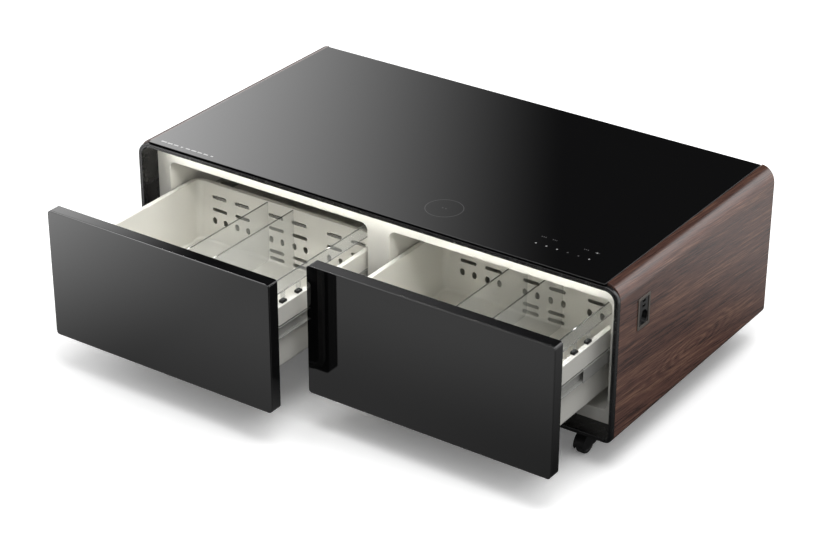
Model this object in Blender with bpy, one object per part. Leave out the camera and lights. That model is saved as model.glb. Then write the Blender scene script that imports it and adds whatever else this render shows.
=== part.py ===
"""Refrigerated coffee table: two fridge drawers on slides in a glass-topped cabinet on casters.

Metres, +Z up. The origin lies on the floor under the middle of the table as it stands, with both
drawers drawn out. Pieces are modelled in the cabinet's own frame, whose origin is on the floor
below the middle of the front rim, with +X to the right and +Y running into the cabinet. Drawer
pieces are modelled as they lie when the drawer is shut, about the middle of their own opening.
"""

from math import cos, pi, radians, sin

import bmesh
import bpy
from mathutils import Matrix

# Overall sizes
TABLE_LENGTH = 1.300
TABLE_DEPTH = 0.711
TABLE_HEIGHT = 0.452
FLOOR_CLEARANCE = 0.0706
TOP_CORNER = 0.034
BOTTOM_CORNER = 0.018

# Clearances between pieces, the reach of cutters past what they cut, and the weld distance
GAP = 0.0003
RUNNING_GAP = 0.0005
SHAFT_CLEARANCE = 0.0001
OVERRUN = 0.010
WELD = 0.000001
SMALLEST_CORNER = 0.002

# Top glass and the tray below it
GLASS_THICK = 0.006
GLASS_BACK_MARGIN = 0.006
GLASS_CORNER = 0.003
GLASS_CHAMFER = 0.0008
POCKET_DEPTH = 0.0045
POCKET_CLEARANCE = 0.002

# Shell: bent side panels, base plate and back panel
SHELL_THICK = 0.007
PANEL_TOP_LAP = 0.012
PANEL_BOTTOM_LAP = 0.032
BASE_SHEET = 0.0018
BASE_CORNER = 0.004
BASE_RIB_WIDTH = 0.024
BACK_THICK = 0.0015
BACK_RECESS = 0.006

# Front frame and fascia
SLEEVE_WALL = 0.003
FRAME_LIP = 0.0106
FRAME_CHAMFER = 0.0015
FASCIA_Y = 0.057
FASCIA_THICK = 0.003

# Doors and the openings that they cover
DOOR_SIDE_GAP = 0.0104
DOOR_MIDDLE_GAP = 0.0094
DOOR_BOTTOM_GAP = 0.009
FINGER_GAP = 0.029
DOOR_THICK = 0.0338
DOOR_GLASS = 0.004
DOOR_CORNER = 0.008
DOOR_CHAMFER = 0.001
DOOR_SIDE_LAP = 0.0253
DOOR_TOP_LAP = 0.0245
DOOR_BOTTOM_LAP = 0.0221
OPENING_CORNER = 0.018
GASKET_THICK = 0.0085
GASKET_WIDTH = 0.014
GASKET_LAP = 0.0035
GASKET_GROOVE = 0.0025

# Liners and the foam round them
LINER_WALL = 0.0025
LINER_FLANGE = 0.008
LINER_FILLET = 0.008
FOAM_REAR = 0.036
MACHINE_DEPTH = 0.1587

# Drawer boxes
BOX_SIDE_GAP = 0.006
BOX_REAR_GAP = 0.006
BOX_RIM_DROP = 0.072
BOX_LIFT = 0.039
BOX_WALL = 0.0025
RIM_WIDTH = 0.0125
RIM_ROUND = 0.0015
APRON_HEIGHT = 0.045
BOX_CORNER = 0.030
BOX_FILLET = 0.008

# Holes in a box's rear wall: rows as depths below the rim, columns out from the middle
SLOT_LENGTH = 0.044
SLOT_HEIGHT = 0.0095
HOLE_WIDTH = 0.0125
HOLE_HEIGHT = 0.0175
SLOT_PAIR_PITCH = 0.0685
SLOT_GROUP_PITCH = 0.1705
HOLE_PITCH = 0.033
UPPER_ROW_SHARE = 0.220
LOWER_ROW_SHARE = 0.431
HOLE_ROW_SHARE = 0.620
VENT_ROW_SHARE = 0.812
LAST_ROW_SHARE = 0.931
RIB_WIDTH = 0.003
RIB_DEPTH = 0.0015

# Clear plates in the drawers
DIVIDER_THICK = 0.003
DIVIDER_DROP = 0.002
LEFT_BOX_DIVIDERS = (0.223, 0.298)
RIGHT_BOX_DIVIDERS = (0.2355, 0.330)
GALLERY_THICK = 0.003
GALLERY_HEIGHT = 0.034
GALLERY_LIFT = 0.026
GALLERY_INSET = 0.0095
GALLERY_END_INSET = 0.012
GALLERY_LEG = 0.014
GALLERY_LEG_PITCH = 0.055
LEFT_GALLERY_LEG = 0.068
RIGHT_GALLERY_LEG = 0.115

# How far the drawers stand out
LEFT_OPEN = 0.3517
RIGHT_OPEN = 0.2302

# Ball slides
RAIL_HEIGHT = 0.035
RAIL_SHEET = 0.0012
RAIL_FRONT_INSET = 0.010
RAIL_REAR_INSET = 0.036
RAIL_BELOW_APRON = 0.001
CABINET_RAIL_DEPTH = 0.0092
MIDDLE_RAIL_SETBACK = 0.0035
MIDDLE_RAIL_DEPTH = 0.009
BOX_RAIL_DEPTH = 0.0105

# Casters
CASTER_END_INSET = 0.090
CASTER_FRONT_INSET = 0.065
CASTER_BACK_INSET = 0.061
CASTER_TRAIL = 0.020
WHEEL_RADIUS = 0.025
WHEEL_WIDTH = 0.020
WHEEL_TREAD_ROUND = 0.002
WHEEL_BORE = 0.0041
WHEEL_HUB_DISH = 0.002
AXLE_RADIUS = 0.004
FORK_CHEEK = 0.0025
FORK_GAP = 0.001
FORK_HOOD_GAP = 0.0015
FORK_HOOD = 0.003
FORK_SKIRT = 0.008
FORK_NECK_RADIUS = 0.012
FORK_RACE_RADIUS = 0.019
FORK_RACE_THICK = 0.005
STEM_RADIUS = 0.005
STEM_CLEARANCE = 0.0002
STEM_LENGTH = 0.005
STEM_BORE_FLOOR = 0.0012
BOSS_RADIUS = 0.016

# Cold air chamber behind the liners
CHAMBER_LENGTH = 0.520
CHAMBER_DEPTH = 0.048
CHAMBER_LOW = 0.013
CHAMBER_TOP_DROP = 0.0069
CHAMBER_FOAM = 0.028
DUCT_OPENING_INSET = 0.030
DUCT_OPENING_MARGIN = 0.020
DUCT_OPENING_LOW = 0.038
DUCT_OPENING_TOP_DROP = 0.0319
DUCT_CORNER = 0.006
DUCT_COVER_LAP = 0.008
DUCT_COVER_THICK = 0.0025
DUCT_SLOT_MARGIN = 0.020
DUCT_SLOT_HEIGHT = 0.008
DUCT_SLOT_COUNT = 6

# Evaporator and its fan
EVAPORATOR_MARGIN = 0.060
EVAPORATOR_DEPTH = 0.035
EVAPORATOR_FAN_GAP = 0.020
COIL_SPINE = 0.006
COIL_FIN = 0.003
EVAPORATOR_FINS = 16
STUB_RADIUS = 0.004
STUB_LENGTH = 0.014
STUB_SHARES = (0.25, 0.75)
BLOWER_RADIUS = 0.045
BLOWER_DISC = 0.0015
BLOWER_WIDTH = 0.023
BLOWER_EYE = 0.030
BLOWER_HUB_RADIUS = 0.010
BLOWER_BLADE_ROOT = 0.022
BLOWER_BLADE_THICK = 0.0016
BLOWER_BLADES = 8
BLOWER_SWEEP = 0.6
BLOWER_DROP = 0.020
BLOWER_SHAFT_RADIUS = 0.0025
BLOWER_SHAFT_LENGTH = 0.008
BLOWER_MOTOR_RADIUS = 0.020
BLOWER_MOTOR_LENGTH = 0.010
BLOWER_PLATE = 0.060
BLOWER_PLATE_THICK = 0.002

# Compressor
COMPRESSOR_END_INSET = 0.190
COMPRESSOR_RADIUS = 0.064
COMPRESSOR_HEIGHT = 0.165
COMPRESSOR_LIFT = 0.012
COMPRESSOR_SEAM = 0.003
COMPRESSOR_DOME = 0.030
COMPRESSOR_PLATE_LENGTH = 0.170
COMPRESSOR_PLATE_WIDTH = 0.125
COMPRESSOR_PLATE_THICK = 0.003
COMPRESSOR_FOOT_RADIUS = 0.011
COMPRESSOR_PAD_RADIUS = 0.0088
COMPRESSOR_TERMINAL_WIDTH = 0.044
COMPRESSOR_TERMINAL_REACH = 0.014
COMPRESSOR_PIPE_RADIUS = 0.004
COMPRESSOR_PIPE_LENGTH = 0.022

# Condenser, its fan and the shroud that carries the fan
CONDENSER_END_INSET = 0.120
CONDENSER_THICK = 0.040
CONDENSER_WIDTH = 0.140
CONDENSER_HEIGHT = 0.220
CONDENSER_FINS = 15
SHROUD_END_INSET = 0.200
SHROUD_PLATE = 0.003
SHROUD_HEIGHT = 0.200
SHROUD_SIDE_GAP = 0.002
SHROUD_RING = 0.003
SHROUD_DEPTH = 0.026
FAN_RADIUS = 0.056
FAN_TIP_GAP = 0.003
FAN_HUB_RADIUS = 0.021
FAN_HUB_LENGTH = 0.016
FAN_BLADES = 5
FAN_BLADE_THICK = 0.002
FAN_BLADE_CHORD = 0.030
FAN_ROOT_PITCH = radians(38)
FAN_TIP_PITCH = radians(24)
FAN_SHAFT_RADIUS = 0.003
FAN_SHAFT_LENGTH = 0.008
FAN_MOTOR_RADIUS = 0.018
FAN_MOTOR_LENGTH = 0.008
FAN_STRUT = 0.004
FAN_STRUTS = 3

# Electrics
BOARD_LENGTH = 0.200
BOARD_HEIGHT = 0.110
BOARD_THICK = 0.0016
BOARD_STANDOFF = 0.008
BOARD_STANDOFF_RADIUS = 0.004
BOARD_MARGIN = 0.012
TRANSFORMER_SIZE = 0.034
RELAY_SIZE = 0.018
RELAY_HEIGHT = 0.0144
RELAY_PITCH = 0.0252
HEATSINK_HEIGHT = 0.050
HEATSINK_DEPTH = 0.020
CAPACITOR_RADIUS = 0.009
CAPACITOR_PITCH = 0.0234
TOUCH_END_INSET = 0.184
TOUCH_Y = 0.095
TOUCH_LENGTH = 0.160
TOUCH_WIDTH = 0.060
TOUCH_CORNER = 0.004
TOUCH_SHEET = 0.0016
TOUCH_PAD = 0.009
TOUCH_PAD_PITCH = 0.0265
TOUCH_PADS = 6
COIL_X = 0.146
COIL_Y = 0.104
COIL_RADIUS = 0.043
COIL_BORE = 0.012
COIL_FERRITE = 0.0015
COIL_TURNS = 3
SOCKET_Y = 0.1115
SOCKET_TOP_DROP = 0.065
SOCKET_WIDTH = 0.051
SOCKET_HEIGHT = 0.076
SOCKET_PROUD = 0.0018
SOCKET_RIM = 0.006
SOCKET_SLEEVE = 0.0015
SOCKET_CORNER = 0.004
SOCKET_DEPTH = 0.027
SOCKET_FACE_SINK = 0.0012
PORT_WIDTH = 0.013
PORT_HEIGHT = 0.0055
PORT_DEPTH = 0.009
PORT_PITCH = 0.012
OUTLET_RADIUS = 0.0165
OUTLET_DEPTH = 0.006
PIN_SLOT_WIDTH = 0.0022
PIN_SLOT_HEIGHT = 0.0065
PIN_SLOT_PITCH = 0.0127
PIN_SLOT_DEPTH = 0.012
INLET_END_INSET = 0.110
INLET_HEIGHT = 0.050
INLET_PLATE_WIDTH = 0.120
INLET_PLATE_HEIGHT = 0.080
INLET_PLATE_THICK = 0.002
INLET_PLATE_LAP = 0.005
INLET_BODY_WIDTH = 0.0285
INLET_BODY_HEIGHT = 0.0205
INLET_BODY_DEPTH = 0.024
INLET_WALL = 0.002
INLET_MOUTH_DEPTH = 0.017
INLET_PIN_WIDTH = 0.002
INLET_PIN_HEIGHT = 0.004
INLET_PIN_LENGTH = 0.014
INLET_PIN_PITCH = 0.007
INLET_CORNER = 0.003

# Louvres in the back panel
LOUVRE_END_INSET = 0.060
LOUVRE_LENGTH = 0.220
LOUVRE_HEIGHT = 0.008
LOUVRE_PITCH = 0.022
LOUVRE_LOW = 0.085
LOUVRES = 8

# Faceting
CORNER_STEPS = 5
PANEL_STEPS = 6
SLOT_STEPS = 2
WHEEL_STEPS = 18
ROUND_STEPS = 16
SMALL_ROUND_STEPS = 8
LINER_STEPS = 2
DOME_STEPS = 3
CASTER_STEPS = 12
OPENING_STEPS = 3
BOX_STEPS = 4
HOOD_STEPS = 7
SMOOTH_ANGLE = radians(35)

# Looks: base colour, roughness, metallic, opacity
BLACK_GLASS = ((0.012, 0.012, 0.014), 0.08, 0.0, 1.0)
CLEAR_PLATE = ((0.72, 0.76, 0.76), 0.06, 0.0, 0.35)
WALNUT = ((0.110, 0.052, 0.032), 0.38, 0.0, 1.0)
BLACK_PAINT = ((0.014, 0.014, 0.015), 0.30, 0.0, 1.0)
BLACK_PLASTIC = ((0.020, 0.020, 0.021), 0.45, 0.0, 1.0)
WARM_WHITE = ((0.800, 0.785, 0.740), 0.35, 0.0, 1.0)
GREY_RUBBER = ((0.180, 0.180, 0.175), 0.70, 0.0, 1.0)
BLACK_RUBBER = ((0.016, 0.016, 0.016), 0.65, 0.0, 1.0)
FOAM = ((0.780, 0.690, 0.480), 0.90, 0.0, 1.0)
ZINC_STEEL = ((0.560, 0.570, 0.580), 0.35, 1.0, 1.0)
ALUMINIUM = ((0.760, 0.765, 0.770), 0.35, 1.0, 1.0)
BOARD_GREEN = ((0.030, 0.160, 0.070), 0.50, 0.0, 1.0)
COPPER = ((0.720, 0.330, 0.160), 0.35, 1.0, 1.0)

SIDES = (("left", -1), ("right", 1))

# Cabinet planes worked out from the sizes above
HALF_LENGTH = TABLE_LENGTH / 2
CASE_LOW = FLOOR_CLEARANCE
CASE_TOP = TABLE_HEIGHT - GLASS_THICK - GAP
FRAME_WALL = SHELL_THICK + GAP + SLEEVE_WALL
SHELL_INSET = SHELL_THICK + GAP
INNER_LOW = CASE_LOW + SHELL_INSET
SHELL_FRONT = FRAME_LIP + GAP
BACK_Y = TABLE_DEPTH - BACK_RECESS - BACK_THICK
MACHINE_FRONT = BACK_Y - MACHINE_DEPTH
MACHINE_MIDDLE = (MACHINE_FRONT + BACK_Y) / 2
LINER_BACK = MACHINE_FRONT - FOAM_REAR - GAP
LINER_REAR = LINER_BACK - LINER_WALL
LINER_FRONT = FASCIA_Y + FASCIA_THICK + GAP

# Doors, openings and boxes
DOOR_WIDTH = HALF_LENGTH - FRAME_WALL - DOOR_SIDE_GAP - DOOR_MIDDLE_GAP / 2
DRAWER_X = (DOOR_MIDDLE_GAP + DOOR_WIDTH) / 2
DOOR_LOW = CASE_LOW + FRAME_WALL + DOOR_BOTTOM_GAP
DOOR_HIGH = CASE_TOP - FRAME_WALL - FINGER_GAP
DOOR_BACK = FASCIA_Y - GASKET_THICK - 2 * GAP
DOOR_FRONT = DOOR_BACK - DOOR_THICK
OPENING_HALF = DOOR_WIDTH / 2 - DOOR_SIDE_LAP
OPENING_LOW = DOOR_LOW + DOOR_BOTTOM_LAP
OPENING_HIGH = DOOR_HIGH - DOOR_TOP_LAP
BOX_HALF = OPENING_HALF - BOX_SIDE_GAP
BOX_FRONT = DOOR_BACK + GAP
BOX_BACK = LINER_REAR - BOX_REAR_GAP
BOX_RIM = OPENING_HIGH - BOX_RIM_DROP
BOX_LOW = OPENING_LOW + BOX_LIFT
BOX_FLOOR = BOX_LOW + BOX_WALL
WALL_INSET = RIM_WIDTH - BOX_WALL
RAIL_SPACE = BOX_SIDE_GAP + WALL_INSET
RAIL_Z = BOX_RIM - APRON_HEIGHT - RAIL_BELOW_APRON - RAIL_HEIGHT / 2
RAIL_FRONT = LINER_FRONT + RAIL_FRONT_INSET
RAIL_BACK = LINER_REAR - RAIL_REAR_INSET

# Cold air chamber and casters
CHAMBER_FRONT = LINER_BACK + GAP
CHAMBER_BACK = CHAMBER_FRONT + CHAMBER_DEPTH
CHAMBER_FLOOR = OPENING_LOW + CHAMBER_LOW
CHAMBER_CEILING = OPENING_HIGH - CHAMBER_TOP_DROP
DUCT_NEAR = DRAWER_X - OPENING_HALF + DUCT_OPENING_INSET
DUCT_OPENING_WIDTH = CHAMBER_LENGTH / 2 - DUCT_OPENING_MARGIN - DUCT_NEAR
DUCT_OPENING_HEIGHT = OPENING_HIGH - DUCT_OPENING_TOP_DROP - OPENING_LOW - DUCT_OPENING_LOW
DUCT_SLOT_LENGTH = DUCT_OPENING_WIDTH - 2 * DUCT_SLOT_MARGIN
EVAPORATOR_LENGTH = CHAMBER_LENGTH - 2 * EVAPORATOR_MARGIN
EVAPORATOR_HEIGHT = (
    CHAMBER_CEILING - CHAMBER_FLOOR - BLOWER_DROP - 2 * BLOWER_RADIUS - EVAPORATOR_FAN_GAP
)
TOUCH_X = HALF_LENGTH - TOUCH_END_INSET
CASTER_X = HALF_LENGTH - CASTER_END_INSET
STAND_X = -(SOCKET_PROUD + GAP) / 2
STAND_Y = -(TABLE_DEPTH + DOOR_FRONT - LEFT_OPEN) / 2


def clear_scene():
    """Removes what the scene starts with."""
    for obj in list(bpy.data.objects):
        bpy.data.objects.remove(obj)


def at_x(points, x):
    """Outline of (y, z) points as corners on the plane at this x."""
    return [(x, a, b) for a, b in points]


def at_y(points, y):
    """Outline of (x, z) points as corners on the plane at this y."""
    return [(a, y, b) for a, b in points]


def at_z(points, z):
    """Outline of (x, y) points as corners on the plane at this z."""
    return [(a, b, z) for a, b in points]


def rounded_rectangle(left, right, low, high, radii, steps=CORNER_STEPS):
    """Points round a rectangle, anticlockwise. The radii start at the left low corner."""
    corners = (
        (left, low, 1, 1, pi),
        (right, low, -1, 1, 1.5 * pi),
        (right, high, -1, -1, 0),
        (left, high, 1, -1, 0.5 * pi),
    )
    points = []
    for (a, b, inward_a, inward_b, start), radius in zip(corners, radii):
        for step in range(steps + 1):
            angle = start + 0.5 * pi * step / steps
            points.append(
                (
                    a + radius * (inward_a + cos(angle)),
                    b + radius * (inward_b + sin(angle)),
                )
            )
    return points


def square(a, b, width, height, radius, steps=2):
    """Rounded rectangle about a centre, with one radius."""
    return rounded_rectangle(
        a - width / 2, a + width / 2, b - height / 2, b + height / 2, (radius,) * 4, steps
    )


def slot(a, b, length, height):
    """Round-ended slot about a centre."""
    radius = height / 2
    reach = length / 2 - radius
    points = []
    for side, start in ((1, -0.5 * pi), (-1, 0.5 * pi)):
        for step in range(SLOT_STEPS + 1):
            angle = start + pi * step / SLOT_STEPS
            points.append((a + side * reach + radius * cos(angle), b + radius * sin(angle)))
    return points


def circle(a, b, radius, steps=ROUND_STEPS):
    """Circle about a centre, anticlockwise."""
    turns = [2 * pi * step / steps for step in range(steps)]
    return [(a + radius * cos(angle), b + radius * sin(angle)) for angle in turns]


def to_mesh(shape):
    """Turns a bmesh into mesh data with its faces pointing out."""
    bmesh.ops.recalc_face_normals(shape, faces=shape.faces)
    mesh = bpy.data.meshes.new("shape")
    shape.to_mesh(mesh)
    shape.free()
    return mesh


def loft(sections, closed=False):
    """Skin through sections of as many points each: closed into a ring, or else capped at both ends."""
    shape = bmesh.new()
    rings = [[shape.verts.new(point) for point in section] for section in sections]
    pairs = list(zip(rings, rings[1:]))
    if closed:
        pairs.append((rings[-1], rings[0]))
    for near, far in pairs:
        for index in range(len(near)):
            before = index - 1
            shape.faces.new((near[before], near[index], far[index], far[before]))
    if not closed:
        shape.faces.new(rings[0])
        shape.faces.new(rings[-1])
    return to_mesh(shape)


def prism(points, place, start, end):
    """Outline carried straight from start to end along the axis that place stands for."""
    return loft([place(points, start), place(points, end)])


def block(x, y, z):
    """Box between the two values of each axis."""
    outline = [(x[0], y[0]), (x[1], y[0]), (x[1], y[1]), (x[0], y[1])]
    return prism(outline, at_z, z[0], z[1])


def centred(middle, size):
    """The two values that lie half a size to either side of a middle."""
    return (middle - size / 2, middle + size / 2)


def turned(profile, steps=ROUND_STEPS, ring=False):
    """Solid turned about Z from (radius, height) points; a ring's profile closes on itself."""
    shape = bmesh.new()
    verts = [shape.verts.new((radius, 0, height)) for radius, height in profile]
    pairs = list(zip(verts, verts[1:]))
    if ring:
        pairs.append((verts[-1], verts[0]))
    edges = [shape.edges.new(pair) for pair in pairs]
    bmesh.ops.spin(
        shape, geom=verts + edges, cent=(0, 0, 0), axis=(0, 0, 1), angle=2 * pi, steps=steps
    )
    bmesh.ops.remove_doubles(shape, verts=shape.verts, dist=WELD)
    bmesh.ops.dissolve_degenerate(shape, edges=shape.edges, dist=WELD)
    return to_mesh(shape)


def moved(mesh, offset=(0, 0, 0), turn=0, axis="Z"):
    """The same mesh, turned about an axis through the origin and then shifted."""
    mesh.transform(Matrix.Translation(offset) @ Matrix.Rotation(turn, 4, axis))
    return mesh


def evaluated(obj):
    """Mesh of an object as its modifiers leave it."""
    bpy.context.view_layer.update()
    graph = bpy.context.evaluated_depsgraph_get()
    return bpy.data.meshes.new_from_object(obj.evaluated_get(graph))


def helper(data):
    """Unlisted object for a shape that only helps to make another."""
    obj = bpy.data.objects.new("helper", data)
    bpy.context.collection.objects.link(obj)
    return obj


def plate(outlines, place, start, end):
    """Flat plate: the first outline filled, less the others, as a 2D curve extruded to its thickness."""
    curve = bpy.data.curves.new("plate", "CURVE")
    curve.dimensions = "2D"
    curve.fill_mode = "BOTH"
    curve.extrude = (end - start) / 2
    for points in outlines:
        spline = curve.splines.new("POLY")
        spline.points.add(len(points) - 1)
        for knot, (a, b) in zip(spline.points, points):
            knot.co = (a, b, 0, 1)
        spline.use_cyclic_u = True
    obj = helper(curve)
    mesh = evaluated(obj)
    bpy.data.objects.remove(obj)
    middle = (start + end) / 2
    axes = [place([point], middle)[0] for point in ((0, 0), (1, 0), (0, 1))]
    origin = Matrix.Translation(axes[0])
    across = [Matrix.Translation(axis) @ origin.inverted() for axis in axes[1:]]
    columns = [matrix.to_translation() for matrix in across]
    normal = columns[0].cross(columns[1])
    turn = Matrix((columns[0], columns[1], normal)).transposed().to_4x4()
    mesh.transform(origin @ turn)
    shape = bmesh.new()
    shape.from_mesh(mesh)
    bmesh.ops.remove_doubles(shape, verts=shape.verts, dist=WELD)
    return to_mesh(shape)


def boolean(base, tools, operation):
    """Joins each tool to the base, or cuts it away, one after the other."""
    obj = helper(base)
    for tool in tools:
        other = helper(tool)
        modifier = obj.modifiers.new("join", "BOOLEAN")
        modifier.operation = operation
        modifier.solver = "EXACT"
        modifier.object = other
        mesh = evaluated(obj)
        obj.modifiers.clear()
        obj.data = mesh
        bpy.data.objects.remove(other)
    mesh = obj.data
    bpy.data.objects.remove(obj)
    return mesh


def fused(base, *tools):
    """One body from shapes that overlap."""
    return boolean(base, tools, "UNION")


def carved(base, *tools):
    """A body less the tools' shapes."""
    return boolean(base, tools, "DIFFERENCE")


def gathered(meshes):
    """Separate shapes in one mesh, to cut them away together."""
    shape = bmesh.new()
    for mesh in meshes:
        shape.from_mesh(mesh)
    return to_mesh(shape)


def finish(name, look):
    """Material of one piece."""
    colour, roughness, metallic, opacity = look
    material = bpy.data.materials.new(name)
    material.use_nodes = True
    shader = material.node_tree.nodes["Principled BSDF"]
    shader.inputs["Base Color"].default_value = (*colour, 1)
    shader.inputs["Roughness"].default_value = roughness
    shader.inputs["Metallic"].default_value = metallic
    shader.inputs["Alpha"].default_value = opacity
    material.diffuse_color = (*colour, opacity)
    return material


def piece(name, mesh, look, parent, location=(0, 0, 0)):
    """Named object of one sub-part, placed under what carries it."""
    obj = bpy.data.objects.new(name, mesh)
    mesh.name = name
    mesh.materials.clear()
    mesh.materials.append(finish(name, look))
    mesh.shade_smooth()
    mesh.set_sharp_from_angle(angle=SMOOTH_ANGLE)
    bpy.context.collection.objects.link(obj)
    obj.parent = parent
    obj.location = location
    return obj


def empty(name, location, parent=None):
    """Empty that marks a frame or a joint and carries its pieces."""
    obj = bpy.data.objects.new(name, None)
    obj.empty_display_size = HALF_LENGTH
    bpy.context.collection.objects.link(obj)
    obj.parent = parent
    obj.location = location
    return obj


def case_outline(inset):
    """Outline of the cabinet seen from the front, set in all round."""
    low_radius = max(BOTTOM_CORNER - inset, SMALLEST_CORNER)
    high_radius = max(TOP_CORNER - inset, SMALLEST_CORNER)
    return rounded_rectangle(
        inset - HALF_LENGTH,
        HALF_LENGTH - inset,
        CASE_LOW + inset,
        CASE_TOP - inset,
        (low_radius, low_radius, high_radius, high_radius),
    )


def opening_outline(grow, middle=0):
    """Outline of a fascia opening about its middle, grown all round."""
    return rounded_rectangle(
        middle - OPENING_HALF - grow,
        middle + OPENING_HALF + grow,
        OPENING_LOW - grow,
        OPENING_HIGH + grow,
        (OPENING_CORNER + grow,) * 4,
        OPENING_STEPS,
    )


def door_outline(inset):
    """Outline of a drawer front about its middle."""
    half = DOOR_WIDTH / 2 - inset
    radius = max(DOOR_CORNER - inset, SMALLEST_CORNER)
    return rounded_rectangle(-half, half, DOOR_LOW + inset, DOOR_HIGH - inset, (radius,) * 4, OPENING_STEPS)


def box_outline(inset):
    """Plan outline of a drawer box about its middle."""
    half = BOX_HALF - inset
    radius = max(BOX_CORNER - inset, SMALLEST_CORNER)
    return rounded_rectangle(-half, half, BOX_FRONT + inset, BOX_BACK - inset, (radius,) * 4, BOX_STEPS)


def top_glass():
    """Sheet of glass between the panels' top curves, with ground edges."""
    half = HALF_LENGTH - TOP_CORNER
    back = TABLE_DEPTH - GLASS_BACK_MARGIN
    low = TABLE_HEIGHT - GLASS_THICK

    def ring(inset, z):
        outline = rounded_rectangle(
            inset - half, half - inset, inset, back - inset, (GLASS_CORNER,) * 4, 3
        )
        return at_z(outline, z)

    return loft(
        [
            ring(GLASS_CHAMFER, low),
            ring(0, low + GLASS_CHAMFER),
            ring(0, TABLE_HEIGHT - GLASS_CHAMFER),
            ring(GLASS_CHAMFER, TABLE_HEIGHT),
        ]
    )


def top_tray():
    """Board under the glass, with pockets for the charging coil and the touch board."""
    half = HALF_LENGTH - TOP_CORNER - PANEL_TOP_LAP - GAP
    board = block((-half, half), (SHELL_FRONT, TABLE_DEPTH), (CASE_TOP - SHELL_THICK, CASE_TOP))
    floor = CASE_TOP - POCKET_DEPTH
    coil_radius = COIL_RADIUS + POCKET_CLEARANCE
    coil = prism(circle(COIL_X, COIL_Y, coil_radius, WHEEL_STEPS), at_z, floor, CASE_TOP + OVERRUN)
    touch = prism(
        square(
            TOUCH_X,
            TOUCH_Y,
            TOUCH_LENGTH + 2 * POCKET_CLEARANCE,
            TOUCH_WIDTH + 2 * POCKET_CLEARANCE,
            TOUCH_CORNER,
        ),
        at_z,
        floor,
        CASE_TOP + OVERRUN,
    )
    return carved(board, coil, touch)


def panel_path(thick):
    """Bent line of a side panel from under the glass, down the end and under the table."""
    top_radius = TOP_CORNER - thick
    low_radius = BOTTOM_CORNER - thick
    top_x = HALF_LENGTH - TOP_CORNER
    low_x = HALF_LENGTH - BOTTOM_CORNER
    points = [(top_x - PANEL_TOP_LAP, CASE_TOP - thick)]
    for step in range(PANEL_STEPS + 1):
        angle = 0.5 * pi * (1 - step / PANEL_STEPS)
        points.append(
            (top_x + top_radius * cos(angle), CASE_TOP - TOP_CORNER + top_radius * sin(angle))
        )
    for step in range(PANEL_STEPS + 1):
        angle = -0.5 * pi * step / PANEL_STEPS
        points.append(
            (low_x + low_radius * cos(angle), CASE_LOW + BOTTOM_CORNER + low_radius * sin(angle))
        )
    points.append((low_x - PANEL_BOTTOM_LAP, CASE_LOW + thick))
    return points


def side_panel(sign):
    """Bent panel at one end of the table. The right one has the socket's cut-out."""
    outline = panel_path(0) + panel_path(SHELL_THICK)[::-1]
    outline = [(sign * x, z) for x, z in outline]
    panel = prism(outline, at_y, SHELL_FRONT, TABLE_DEPTH)
    if sign < 0:
        return panel
    hole = socket_outline(SOCKET_RIM - SOCKET_SLEEVE - GAP)
    start = HALF_LENGTH - SHELL_THICK - OVERRUN
    return carved(panel, prism(hole, at_x, start, HALF_LENGTH + OVERRUN))


def front_frame():
    """Black rim round the front, with a thin sleeve running back to the fascia."""
    sleeve_end = FASCIA_Y - GAP
    return loft(
        [
            at_y(case_outline(FRAME_CHAMFER), 0),
            at_y(case_outline(0), FRAME_CHAMFER),
            at_y(case_outline(0), FRAME_LIP),
            at_y(case_outline(SHELL_INSET), FRAME_LIP),
            at_y(case_outline(SHELL_INSET), sleeve_end),
            at_y(case_outline(FRAME_WALL), sleeve_end),
            at_y(case_outline(FRAME_WALL), FRAME_CHAMFER),
            at_y(case_outline(FRAME_WALL - FRAME_CHAMFER), 0),
        ],
        closed=True,
    )


def fascia():
    """White front plate with the two drawer openings."""
    outlines = [case_outline(SHELL_INSET)]
    outlines += [opening_outline(0, sign * DRAWER_X) for _, sign in SIDES]
    return plate(outlines, at_y, FASCIA_Y, FASCIA_Y + FASCIA_THICK)


def duct_x(sign):
    """Middle of the cold air opening in one liner's rear wall, from the liner's own middle."""
    return sign * (DUCT_OPENING_INSET + DUCT_OPENING_WIDTH / 2 - OPENING_HALF)


def duct_outline(middle, grow):
    """Outline of the cold air opening, grown all round."""
    return square(
        middle,
        OPENING_LOW + DUCT_OPENING_LOW + DUCT_OPENING_HEIGHT / 2,
        DUCT_OPENING_WIDTH + 2 * grow,
        DUCT_OPENING_HEIGHT + 2 * grow,
        DUCT_CORNER + grow,
        3,
    )


def liner(sign):
    """Open-fronted inner case of one drawer, with a front flange and a filleted rear."""
    outer_fillet = LINER_FILLET + LINER_WALL
    sections = []
    for step in range(LINER_STEPS + 1):
        angle = 0.5 * pi * step / LINER_STEPS
        grow = LINER_WALL - outer_fillet * (1 - sin(angle))
        sections.append(at_y(opening_outline(grow), LINER_BACK - outer_fillet * (1 - cos(angle))))
    sections += [
        at_y(opening_outline(LINER_WALL), LINER_FRONT + LINER_WALL),
        at_y(opening_outline(LINER_FLANGE), LINER_FRONT + LINER_WALL),
        at_y(opening_outline(LINER_FLANGE), LINER_FRONT),
        at_y(opening_outline(0), LINER_FRONT),
    ]
    for step in range(LINER_STEPS, -1, -1):
        angle = 0.5 * pi * step / LINER_STEPS
        grow = -LINER_FILLET * (1 - sin(angle))
        sections.append(at_y(opening_outline(grow), LINER_REAR - LINER_FILLET * (1 - cos(angle))))
    hole = prism(duct_outline(duct_x(sign), 0), at_y, LINER_REAR - OVERRUN, LINER_BACK + OVERRUN)
    return carved(loft(sections), hole)


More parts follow.
